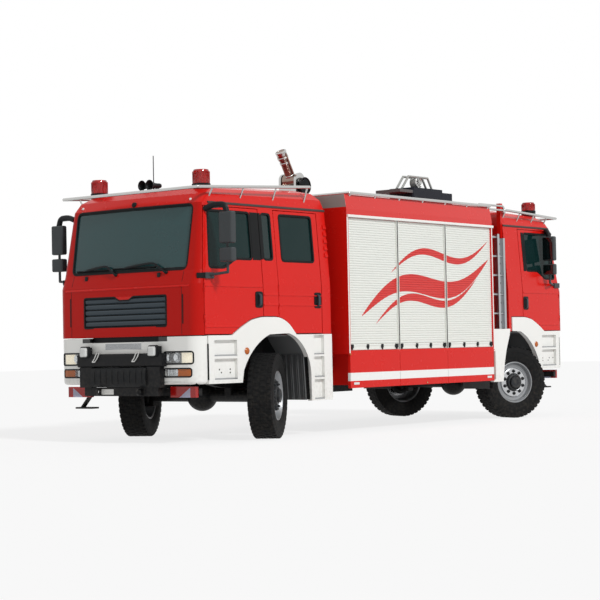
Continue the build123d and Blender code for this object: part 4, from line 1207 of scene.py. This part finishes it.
# %% [markdown]
# ## Lamps
# A lamp looks like a lamp because light goes through its lens and comes back from shaped mirrors behind it.
# So each lamp gets a tray, a bright bowl or fluted reflector and a clear cover that follows the bumper's
# curve. The outer part of the low lamp is amber.

# %% Head lamps
BOWL = mm(((0, 0), (20, 2), (38, 10), (50, 24), (54, 30), (50, 30), (34, 12), (0, 6)))
LAMPS = (
    # y inner, y outer, z low, z high
    (642, 1048, 932, 1060), (642, 1028, 784, 868),
)
AMBER_Y, BEZEL = 840, 6


def bowed_slab(bm, cab, y_from, y_to, low, high, sink, thick):
    """A thin cover that follows the bumper's bow, sunk behind its face."""
    rows = []
    for y in span(y_from, y_to, 9):
        x = bumper_x(y) - sink
        rows.append([cab(a, y, z) for a, z in ((x, low), (x, high), (x - thick, high), (x - thick, low))])
    skin_into(bm, rows)


trays, bowls, flutes, covers, ambers, bezels_and_shade_sheets = meshes(6)
for cab in CABS.values():
    out, upward = facing(cab, 1, 0, 0), facing(cab, 0, 0, 1)
    for side in SIDES:
        for inner, outer, low, high in LAMPS:
            box_into(trays, cab(1288, side * inner, low), cab(1300, side * outer, high), 0.003)
            corners = ((inner - BEZEL, low - BEZEL), (outer + BEZEL, low - BEZEL),
                       (outer + BEZEL, high + BEZEL), (inner - BEZEL, high + BEZEL))
            loop = fine_loop([(side * y, z) for y, z in corners], 30, 40)
            sweep_into(bezels_and_shade_sheets, [cab(bumper_x(p.x), p.x, p.z) for p in loop], flat_bar(0.016, 0.003, 0.010),
                       out,
                       closed=True)
        for y in (705, 812):
            lathe_into(bowls, BOWL, aim(cab(1302, side * y, 1000), out), 28)
        for k in range(9):
            spot = cab(1308 - (k - 4) ** 2 * 0.5, side * (872 + 19.5 * k), 996)
            stud_into(flutes, 0.010, -0.058, 0.058, aim(spot, upward), 10)
        for k in range(8):
            stud_into(bowls, 0.010, -0.036, 0.036, aim(cab(1308, side * (660 + 22 * k), 826), upward), 10)
        (inner, outer, low, high), (low_inner, low_outer, under, over) = LAMPS
        bowed_slab(covers, cab, side * inner, side * outer, low, high, 3, 5)
        bowed_slab(covers, cab, side * low_inner, side * (AMBER_Y - 2), under, over, 3, 5)
        bowed_slab(ambers, cab, side * AMBER_Y, side * low_outer, under, over, 3, 22)
        gap = [cab(1161, side * 1134, z) for z in (735, 1150)]
        sweep_into(bezels_and_shade_sheets, gap, flat_bar(0.016, 0.0175, 0.004), facing(cab, 0, side, 0))
    # Two black sheets fill the gap between the bumper and the cab: painted shade for that dark gap.
    bowed_slab(bezels_and_shade_sheets, cab, -556, 556, 1187, 1249, 62, 20)
    bowed_slab(bezels_and_shade_sheets, cab, -550, 550, 1187, 1200, 40, 24)
fitting("lamp_trays", trays, lamp_tray_grey, "black_plastic", "truck", "headlamps")
fitting("lamp_bezels_and_painted_shade_sheets", bezels_and_shade_sheets, black_plastic, "black_plastic")
fitting("lamp_bowls", bowls, mirror_silver, "bright_metal")
fitting("lamp_flutes", flutes, lamp_cream_with_painted_highlight, "clear_lens")
fitting("lamp_covers", covers, clear_lens, "clear_lens")
fitting("amber_covers", ambers, amber_lens, "red_lens")
print("head lamps on both cabs")

# %% [markdown]
# The tail lamps hang under each bumper. They are red blocks with a pale slanting field for the reversing
# light, which is part of the same moulding, so it is a mask in the lens colour.

# %% Tail lamps and markers
DOME = ((0, -0.004), (0.030, -0.004), (0.030, 0.006), (0.022, 0.014), (0.010, 0.018), (0, 0.019))


def slant_mask(tree):
    """Pale where the lamp's outer lower corner is cut off by a slanting line."""
    across = off_middle(tree)
    lean = calc(tree, "MULTIPLY_ADD", calc(tree, "SUBTRACT", place_axis(tree, "Z"), 0.54), -1.5, across)
    return calc(tree, "MULTIPLY", above(tree, lean, 0.785, 0.003), below(tree, across, 0.955, 0.003))


def dome(wide, tall):
    return [(r * wide, a * tall) for r, a in DOME]


repaint("tail_lamps", "tail_lamp_lens", red_lens, slant_mask, srgb(196, 196, 222))
markers, reflectors = meshes(2)
for cab, side in CAB_SIDES.values():
    lathe_into(markers, dome(1.35, 1.2), aim(cab(488, side * 1150, 1057), facing(cab, 0, side, 0)), 20)
for side in SIDES:
    for x, z in ((-1362, 985), (-3050, 585)):
        lathe_into(markers, dome(0.5, 0.7), aim(body_spot(x, side * 1275, z), Vector((0, side, 0))), 14)
    for x in (-1480, -4590):
        box_into(reflectors, body_spot(x - 55, side * 1272, 602), body_spot(x + 55, side * 1280, 632), 0.003)
fitting("amber_markers", markers, amber_lens, "red_lens")
fitting("skirt_reflectors", reflectors, lamp_white, "clear_lens")
print("markers and reflectors ready")

# %% [markdown]
# ## Grille
# The grille is five broad level bars in a frame, dark blue-grey, with a shallow dip in the middle of its upper
# edge. A thin black sheet behind the bars keeps the red panel from showing between them.

# %% Grille bars
GRILLE_HALF, GRILLE_LOW, GRILLE_HIGH, BARS = 668, 1362, 1720, 5
BAR_STEP = (GRILLE_HIGH - GRILLE_LOW - 20) / BARS
BAR_Z, SHEET_Z = GRILLE_LOW + 10 + BAR_STEP / 2, (GRILLE_LOW + GRILLE_HIGH) // 2
BAR_TALL = BAR_STEP / 2000 - 0.006
BAR_SECTION = [(BAR_TALL * share, out) for share, out in (
    (-1, -0.018), (1, -0.018), (1, -0.004), (0.6, 0.008), (-0.5, 0.012), (-1, 0.002))]
DIP_HALF, DIP_FOOT, DIP_LOW = 150, 80, GRILLE_HIGH - 42
GRILLE_EDGE = ((-GRILLE_HALF, GRILLE_LOW), (GRILLE_HALF, GRILLE_LOW), (GRILLE_HALF, GRILLE_HIGH),
               (DIP_HALF, GRILLE_HIGH), (DIP_FOOT, DIP_LOW), (-DIP_FOOT, DIP_LOW), (-DIP_HALF, GRILLE_HIGH),
               (-GRILLE_HALF, GRILLE_HIGH))
DIP = ((DIP_HALF, GRILLE_HIGH + 2), (DIP_FOOT, DIP_LOW), (-DIP_FOOT, DIP_LOW), (-DIP_HALF, GRILLE_HIGH + 2))
for end, cab in CABS.items():
    out = facing(cab, 1, 0, 0)
    bar, edge, wedge = meshes(3)
    path = [on_front(cab, y, BAR_Z, -14) for y in span(18 - GRILLE_HALF, GRILLE_HALF - 18, 15)]
    sweep_into(bar, path, BAR_SECTION, out)
    stands_for = ["grilles"] if cab is front_cab else []
    row(f"grille_bars_{end}", bar, grille_grey, "black_plastic", BARS, (0, 0, BAR_STEP / 1000), *stands_for)
    loop = [on_front(cab, p.x, p.z) for p in loop_of(GRILLE_EDGE, 22, 3)]
    sweep_into(edge, loop, flat_bar(0.018, 0.004, 0.03), out, closed=True)
    back = [cab(max(front_x(y, SHEET_Z) - 29, 1317), y, SHEET_Z)
            for y in span(6 - GRILLE_HALF, GRILLE_HALF - 6, 11)]
    sweep_into(edge, back, flat_bar((GRILLE_HIGH - GRILLE_LOW) / 1000 - 0.012, 0.002, 0.002), out)
    fitting(f"grille_edge_{end}", edge, black_rubber, "black_plastic")
    plate_into(wedge, [on_front(cab, y, z, -16) for y, z in DIP], out * 0.017)
    fitting(f"grille_dip_{end}", wedge, red_paint, "red_paint")
print("grille bars", BARS, "a cab")

# %% [markdown]
# ## Winch and front guard
# The front guard carries a recovery winch, two work lamps and bright towing clamps. A black moulded cover
# keeps dirt off the winch; its stiffening rib is drawn once and repeated. Above the winch a strip of the
# bumper is pierced for air; its holes are one short column, repeated along the strip. The number plate is
# left blank.

# %% Winch cover, clamps, lamps and plate
COVER_HALF, COVER_RIBS, RIB_STEP = 444, 9, 96
COVER = (
    # x, z
    (1371, 664), (1371, 897), (1430, 897), (1458, 884), (1472, 856), (1477, 790), (1474, 720), (1460, 680),
    (1440, 664),
)
COVER_RIB = ((1450, 700), (1450, 880), (1468, 874), (1479, 840), (1483, 790), (1480, 726), (1470, 700))
FIRST_RIB = -RIB_STEP * (COVER_RIBS - 1) / 2 - 7
GUARD_FACE, CLAMP_X = 1450, 1460
cover, rib, clamps, lamps, shells, plate = meshes(6)
plate_into(cover, [front_cab(x, -COVER_HALF, z) for x, z in COVER], Vector((0, 2 * COVER_HALF / 1000, 0)))
fitting("winch_cover", cover, black_plastic, "black_plastic")
plate_into(rib, [front_cab(x, FIRST_RIB, z) for x, z in COVER_RIB], Vector((0, 0.014, 0)))
row("winch_cover_ribs", rib, black_plastic, "black_plastic", COVER_RIBS, (0, RIB_STEP / 1000, 0))
for y in (-400, 250):
    for shift in (y, y + 44):
        bar = ((62, 1066), (40, 1052), (14, 1004), (-24, 962))
        tube_into(clamps, rounded([front_cab(CLAMP_X, a + shift, z) for a, z in bar], 0.012), 0.0085, 8)
    tube_into(clamps, [front_cab(CLAMP_X, y + a, 962) for a in (-24, 20)], 0.0085, 8)
for side in SIDES:
    box_into(shells, front_cab(GUARD_FACE - 40, side * 484, 1010),
             front_cab(GUARD_FACE + 28, side * 626, 1148), 0.024, 4)
    box_into(lamps, front_cab(GUARD_FACE + 10, side * 496, 1022),
             front_cab(GUARD_FACE + 38, side * 614, 1136), 0.022, 4)
    for z in range(1038, 1128, 18):
        box_into(lamps, front_cab(GUARD_FACE + 30, side * 514, z),
                 front_cab(GUARD_FACE + 41, side * 596, z + 9), 0.002)
box_into(plate, front_cab(1418, -372, 578), front_cab(1425, -118, 642), 0.003)
for y in (-350, -140):
    lathe_into(plate, mm(((0, 0), (6, 0), (6, 4), (0, 5))), aim(front_cab(1424, y, 610), Vector((1, 0, 0))),
               10)
fitting("towing_clamps", clamps, bright_steel, "bright_metal")
fitting("work_lamp_shells", shells, black_plastic, "black_plastic")
fitting("work_lamp_lenses", lamps, lamp_white, "clear_lens")
fitting("blank_plate", plate, white_paint, "white_paint")
print("ribs on the winch cover", COVER_RIBS)

# %% Pierced strip in the bumper
HOLES_UP, HOLES_ALONG, HOLE_PITCH, HOLE_LOW = 5, 44, 13.0, 1113
STRIP_X = bumper_x(240)
for end, cab in CABS.items():
    column, sheet = meshes(2)
    out = facing(cab, 1, 0, 0)
    for k in range(HOLES_UP):
        spot = cab(STRIP_X + 2.6, -280, HOLE_LOW + k * HOLE_PITCH)
        stud_into(column, 0.0042, -0.004, 0.0006, aim(spot, out), 6)
    step = facing(cab, 0, 1, 0) * HOLE_PITCH / 1000
    row(f"bumper_holes_{end}", column, black_rubber, "black_plastic", HOLES_ALONG, step)
    sweep_into(sheet, [cab(STRIP_X - 3, y, 1139) for y in (-292, 292)], flat_bar(0.070, 0.0055, 0.02), out)
    fitting(f"bumper_strip_{end}", sheet, aluminium, "bright_metal")
print("holes", HOLES_UP * HOLES_ALONG, "a bumper")

# %% [markdown]
# ## Steps and wheel wells
# The white arches have step recesses. On the real truck each has a toothed tread, so a boot doesn't slip: a
# plate with one tooth repeated along it. Behind each wheel hangs a ribbed rubber flap, and a ribbed black sheet
# closes each wheel well towards the frame.

# %% Step treads
ENTRY_STEPS = [(660, 1060, low) for low in (735, 1005)]
CREW_STEPS = [(-990, -790, low) for low in (445, 715, 995)]
STEP_HOLES = ((1040, 850), (930, 850), (740, 850), (896, 815), (742, 812))
TOOTH_STEP, LONG_TEETH, SHORT_TEETH = (-0.025, 0, 0), 15, 7
treads, long_teeth, short_teeth, holes = meshes(4)


def tread(cab, side, back, front, low, teeth):
    """A tread plate and its first tooth; the row of teeth runs towards the truck's rear."""
    box_into(treads, cab(back + 4, side * 1107, low + 1), cab(front - 4, side * 1152, low + 12), 0.003)
    x = front - 22 if cab is front_cab else back + 22
    box_into(teeth, cab(x - 5, side * 1112, low + 10), cab(x + 5, side * 1150, low + 17), 0.002, 1)


for cab, side in CAB_SIDES.values():
    for step in ENTRY_STEPS:
        tread(cab, side, *step, long_teeth)
    for x, z in STEP_HOLES:
        stud_into(holes, 0.010, -0.004, 0.001, aim(cab(x, side * 1105, z), facing(cab, 0, side, 0)), 12)
for side in SIDES:
    for step in CREW_STEPS:
        tread(front_cab, side, *step, short_teeth)
fitting("step_treads", treads, aluminium, "bright_metal")
fitting("step_holes", holes, black_rubber, "black_plastic")
row("entry_step_teeth", long_teeth, aluminium, "bright_metal", LONG_TEETH, TOOTH_STEP)
row("crew_step_teeth", short_teeth, aluminium, "bright_metal", SHORT_TEETH, TOOTH_STEP)
print("treads ready")

# %% Flaps and wheel wells
RIBS, RIB_PITCH, FLAP_Y = 5, 92, 682
FLAP_RIB = mm(((-6, -12), (6, -12), (4, 10), (-4, 10)))
SHIELD_Y = 655
SHIELD = ((-640, 930), (700, 930), (700, 1248), (-640, 1248))
FLAP_STRIP = ((-708, 1055, 446), (-708, 1135, 446), (-668, 1135, 1010), (-668, 1055, 1010))
shields = bmesh.new()
for label, (cab, side) in CAB_SIDES.items():
    rib, outward = bmesh.new(), facing(cab, 0, side, 0)
    for y in (FLAP_Y, FLAP_Y + 26):
        path = [cab(x, side * y, z) for x, z in ((-662, 1000), (-700, 446))]
        sweep_into(rib, path, FLAP_RIB, facing(cab, 1, 0, 0.05))
    row(f"flap_ribs_{label}", rib, flap_rubber, "black_plastic", RIBS, outward * RIB_PITCH / 1000)
    plate_into(shields, [cab(x, side * SHIELD_Y, z) for x, z in SHIELD], outward * 0.004)
    plate_into(shields, [cab(x, side * y, z) for x, y, z in FLAP_STRIP], facing(cab, -1, 0, 0) * 0.004)
    for x in (-420, 0, 420):
        path = [cab(x, side * (SHIELD_Y + 4), z) for z in (940, 1242)]
        sweep_into(shields, path, flat_bar(0.05, 0.006, 0.001), outward)
fitting("wheel_well_shields", shields, chassis_black, "chassis_black")
print("flaps and shields ready")

# %% [markdown]
# ## Roof signals
# Each beacon is a red dome on a dark foot. Fine upright ribs inside the dome spread the light, and a bright
# mirror turns in the middle. Between the front beacons stand two horns and a whip antenna.

# %% Beacons, horns and antenna
FOOT_TOP = {front_cab: 3020, rear_cab: 3062}
BEACON_X, BEACON_Y, RIB_COUNT = 880, 836, 28
HORN = ((0, 0), (26, 0), (30, 20), (28, 60), (32, 110), (46, 160), (62, 186), (64, 190), (58, 190), (40, 166),
        (24, 120), (0, 118))
feet, domes, mirrors, horns = meshes(4)
for label, (cab, side) in CAB_SIDES.items():
    top, y, spot = FOOT_TOP[cab], side * BEACON_Y, cab(BEACON_X, side * BEACON_Y, 0)
    place = aim(spot, Vector((0, 0, 1)))
    foot = ((0, 2880), (96, 2880), (108, top - 30), (110, top - 6), (104, top), (0, top))
    shade = ((0, top - 2), (102, top - 2), (104, top + 4), (92, 3172), (86, 3183), (70, 3186), (0, 3186))
    lathe_into(feet, mm(foot), place, 32)
    lathe_into(domes, mm(shade), place, 40)
    box_into(mirrors, cab(BEACON_X - 30, y - 6, top + 10), cab(BEACON_X + 30, y + 6, 3140), 0.004)
    rib, name = bmesh.new(), f"beacon_ribs_{label}"
    box_into(rib, (-0.0035, top / 1000 + 0.006, 0.088), (0.0035, 3.160, 0.1035), 0.0015, 1)
    ribs = repeated(name, RING, rib, red_lens, Count=RIB_COUNT, Place=tuple(spot), Turn=(math.pi / 2, 0, 0))
    piece(name, ribs, "red_lens")
fitting("beacon_feet", feet, black_plastic, "black_plastic", "truck", "roof_signals")
fitting("beacon_domes", domes, beacon_red, "red_lens", angle=50)
fitting("beacon_mirrors", mirrors, mirror_silver, "bright_metal")
for y in (-62, 62):
    lathe_into(horns, mm(HORN), aim(front_cab(752, y, 3058), Vector((1, 0, 0))), 28)
    box_into(horns, front_cab(780, y - 14, 2960), front_cab(830, y + 14, 3040), 0.004)
box_into(horns, front_cab(762, -92, 2960), front_cab(898, 92, 2998), 0.008)
for low, high, radius, sides in ((2990, 3060, 0.012, 10), (3050, 3422, 0.0055, 8)):
    tube_into(horns, [front_cab(800, 0, low), front_cab(800, 0, high)], radius, sides)
fitting("horns_and_antenna", horns, black_plastic, "black_plastic")
print("beacons with", RIB_COUNT, "ribs")

# %% [markdown]
# ## Water monitor and roof light
# The monitor stands on bright steel, its barrel is brassy brown with bright bands, and its hand wheel is
# black. The caged work light behind it has a silver lamp, and the front of its box is a little paler.

# %% Monitor, lamp and roof box
MONITOR, TILT = front_cab(-1850, 0, 3290), math.radians(59)
ALONG = Vector((math.cos(TILT), 0, math.sin(TILT)))
BANDS = (
    # radius, distance along the barrel
    ((62, 60), (66, 66), (66, 84), (62, 90), (30, 90), (30, 60)),
    ((62, 250), (68, 256), (68, 276), (62, 282), (30, 282), (30, 250)),
    ((71, 330), (76, 336), (76, 352), (71, 358), (30, 358), (30, 330)),
    ((71, 410), (76, 416), (76, 430), (58, 436), (50, 400), (50, 380), (71, 380)),
)
WHEEL_HUB = mm(((0, 0), (24, 0), (24, 20), (18, 26), (0, 26)))
LAMP_FACE = mm(((0, 45), (78, 45), (80, 56), (74, 60), (60, 50), (0, 52)))
LAMP_X, LAMP_MIDDLE_Z, BAR_R = -4040, 3360, 74


def wheel_mask(tree):
    return above(tree, place_axis(tree, "Y"), 0.160)


def bright_top_mask(tree):
    pale_front = calc(tree, "MULTIPLY", above(tree, place_axis(tree, "X"), -0.935), 0.3)
    return calc(tree, "MAXIMUM", above(tree, place_axis(tree, "Z"), 3.268), pale_front)


repaint("monitor_turret", "monitor_metal_with_black_wheel", bright_steel, wheel_mask, srgb(30, 34, 36))
repaint("roof_light_box", "roof_box_with_bright_cage", box_black, bright_top_mask, srgb(168, 170, 166))
NODES["monitor_base"].data.materials[0] = bright_steel
bands, hand_wheel, lamp = meshes(3)
for profile in BANDS:
    lathe_into(bands, mm(profile), aim(MONITOR, ALONG), 36)
fitting("monitor_bands", bands, bright_steel, "monitor_metal", "barrel")
place = aim(front_cab(-1900, 177, 3210), Vector((0, 1, 0)))
lathe_into(hand_wheel, circle(0.009, 8, 0.108, 0.012), place, 36)
lathe_into(hand_wheel, WHEEL_HUB, place, 16)
tube_into(hand_wheel, [place @ Vector((0.09, along, 0)) for along in (0.01, 0.062)], 0.011)
fitting("monitor_hand_wheel", hand_wheel, black_plastic, "black_plastic", "turret")
lathe_into(lamp, LAMP_FACE, aim(body_spot(LAMP_X, 475, LAMP_MIDDLE_Z), Vector((0, 1, 0))), 32)
for turn in span(-0.9, 0.9, 7):
    across, up_by = BAR_R * math.sin(turn * 1.2), BAR_R * math.cos(turn * 1.2)
    tube_into(lamp, [body_spot(LAMP_X + s * across, 533, LAMP_MIDDLE_Z - s * up_by) for s in SIDES], 0.0035,
              6)
fitting("roof_lamp_face", lamp, bright_steel, "bright_metal")
print("monitor at", [round(v, 3) for v in MONITOR])

# %% [markdown]
# A pierced channel stiffens the ladder, and a double rail bridges the gap between the body's roof and the rear
# cab for a climber's hand. A bare metal strip guards each rear corner of the skirt. On the roof lies a walkway
# with raised cleats.

# %% Grab rail, corner guards and walkway
CHANNEL = ((-5190, 1290), (-5078, 1290), (-5078, 2580), (-5190, 2580))
CHANNEL_HOLES, HOLE_STEP = 9, 0.140
GUARD = ((-4752, 575), (-4712, 575), (-4712, 960), (-4752, 985))
CLEATS, CLEAT_STEP = 58, (-0.040, 0, 0)
rail, channel, hole, guards, deck, cleat = meshes(6)
for lift in (0, 60):
    bridge = ((-4690, 1090, 2960), (-4690, 1090, 2996 + lift), (-5340, 1100, 2996 + lift),
              (-5370, 1105, 2960))
    tube_into(rail, rounded([body_spot(*spot) for spot in bridge], 0.03), 0.015)
plate_into(channel, [body_spot(p.x, 1138, p.z) for p in loop_of(CHANNEL, 20)], Vector((0, 0.010, 0)))
stud_into(hole, 0.017, 0, 0.0012, aim(body_spot(-5134, 1147.5, 1380), Vector((0, 1, 0))), 14)
for side in SIDES:
    outline = [body_spot(p.x, side * 1274, p.z) for p in loop_of(GUARD, 16)]
    plate_into(guards, outline, Vector((0, side * 0.005, 0)))
fitting("ladder_channel", channel, aluminium, "bright_metal")
row("ladder_channel_holes", hole, black_rubber, "black_plastic", CHANNEL_HOLES, (0, 0, HOLE_STEP))
fitting("ladder_grab_rail", rail, bright_steel, "bright_metal")
fitting("skirt_corner_guards", guards, guard_strip, "bright_metal")
box_into(deck, body_spot(-4600, -620, 2994), body_spot(-2250, 150, 3001), 0.002)
box_into(cleat, body_spot(-2275, -600, 2998), body_spot(-2265, 130, 3006), 0.002, 1)
fitting("roof_walkway", deck, aluminium, "bright_metal")
row("walkway_cleats", cleat, aluminium, "bright_metal", CLEATS, CLEAT_STEP)
print("walkway with", CLEATS, "cleats")

# %% [markdown]
# ## Cabin
# Through the glass one sees the seats, dashboards and steering wheels. Seats are soft: each pad starts as a
# slightly small block and is blown up by a cloth simulation, as stuffing pushes its cover out. Its underside
# stays flat, the swelling is capped, and sewn channels are pressed in afterwards. One cushion and one back
# rest are made and then copied to all nine seats.

# %% Soft seat pads
VOXEL, SWELL_CAP, SMALLER = 0.016, 0.016, 0.012
PRESSURE, CLOTH_FRAMES = 4, 20
CHANNELS_Y, CHANNEL_WIDE, CHANNEL_DEEP = (-0.10, 0.10), 0.014, 0.012
SEATS = (
    # cab, front edge of the cushion, y
    *((front_cab, 560, y) for y in (-680, 0, 680)),
    *((front_cab, -460, y) for y in (-750, -250, 250, 750)),
    *((rear_cab, 560, y) for y in (-680, 680)),
)


def swell(thing, block):
    """Blow the block up as a pressed cloth, and cap how far each point moves."""
    start = [v.co.copy() for v in block.vertices]
    settings = thing.modifiers.new("stuffing", "CLOTH").settings
    settings.use_pressure = True
    settings.uniform_pressure_force = PRESSURE
    settings.effector_weights.gravity = 0
    for step in range(1, CLOTH_FRAMES + 1):
        bpy.context.scene.frame_set(step)
    graph = bpy.context.evaluated_depsgraph_get()
    swollen = [v.co.copy() for v in thing.evaluated_get(graph).data.vertices]
    thing.modifiers.clear()
    bpy.context.scene.frame_set(1)
    for vert, was, now in zip(block.vertices, start, swollen):
        move = now - was
        vert.co = was + move * min(1.0, SWELL_CAP / max(move.length, 1e-9))


def soft_pad(name, size, flat_axis):
    """A pad about the origin: size in metres, flat on the low side of one axis, channels across y."""
    bm = bmesh.new()
    box_into(bm, [-s / 2 + SMALLER for s in size], [s / 2 - SMALLER for s in size], 0.035, 3)
    thing = new_object(name, make_mesh(name, bm, seat_cloth))
    remesh = thing.modifiers.new("remesh", "REMESH")
    remesh.mode, remesh.voxel_size = "VOXEL", VOXEL
    block = evaluated_mesh(thing)
    thing.modifiers.clear()
    thing.data = block
    swell(thing, block)
    for vert in block.vertices:
        if vert.co[flat_axis] > 0:
            groove = sum(math.exp(-((vert.co.y - y) / CHANNEL_WIDE) ** 2) for y in CHANNELS_Y)
            vert.co[flat_axis] -= CHANNEL_DEEP * groove
        vert.co[flat_axis] = max(vert.co[flat_axis], -size[flat_axis] / 2)
    bpy.data.objects.remove(thing)
    return block


def seat_copies(name, block, x, z, *stands_for):
    """The same pad on every seat, as one padded piece."""
    bm = bmesh.new()
    for cab, front_edge, y in SEATS:
        mesh = block.copy()
        half_turn = Matrix.Rotation(math.pi if cab is rear_cab else 0, 4, "Z")
        mesh.transform(Matrix.Translation(cab(front_edge + x, y, z)) @ half_turn)
        merge(bm, mesh)
    return fitting(name, bm, seat_cloth, "interior", "truck", *stands_for, angle=60)


cushion = soft_pad("seat_cushion", (0.500, 0.470, 0.140), 2)
back_rest = soft_pad("seat_rest", (0.130, 0.450, 0.700), 0)
cushions = seat_copies("seat_cushions", cushion, -250, 1770, "cab_interiors")
rests = seat_copies("seat_rests", back_rest, -555, 2070)
print("seats", len(SEATS), "faces in one cushion", len(cushion.polygons))

# %% Seat frames, dashboards and steering wheels
WHEEL_R, SPOKES = 0.215, (0.0, 2.1, 4.2)
WHEEL_BOSS = mm(((0, -30), (55, -30), (62, 0), (45, 18), (0, 22)))
frames, dashes, wheels = meshes(3)
for cab, front_edge, y in SEATS:
    box_into(frames, cab(front_edge - 440, y - 150, 1310), cab(front_edge - 60, y + 150, 1690), 0.02)
    box_into(frames, cab(front_edge - 470, y - 215, 1685), cab(front_edge - 30, y + 215, 1702), 0.006)
for cab in CABS.values():
    rows = []
    for y in span(-1030, 1030, 25):
        deep = min(front_x(y, 1900) - 85, 1225)
        outline = ((985, 1505), (deep, 1505), (deep, 1880), (deep - 70, 1898), (1045, 1890), (978, 1800),
                   (965, 1640))
        rows.append([cab(x, y, z) for x, z in outline])
    skin_into(dashes, rows)
    box_into(dashes, cab(1000, 490, 1870), cab(1120, 870, 1945), 0.02, 3)
    hub, column = cab(850, 680, 1960), facing(cab, 1, 0, -1)
    place = aim(hub, -column)
    lathe_into(wheels, circle(0.016, 10, WHEEL_R), place, 40)
    lathe_into(wheels, WHEEL_BOSS, place, 24)
    for angle in SPOKES:
        tip = place @ (Vector((math.sin(angle), 0, math.cos(angle))) * (WHEEL_R - 0.010))
        tube_into(wheels, [hub, tip], 0.012, 8)
    tube_into(wheels, [hub, hub + column * 0.24], 0.034, 14)
fitting("seat_frames", frames, black_plastic, "interior")
fitting("dashboards", dashes, cabin_grey, "interior")
fitting("steering_wheels", wheels, black_plastic, "interior")
print("cabin dressed")
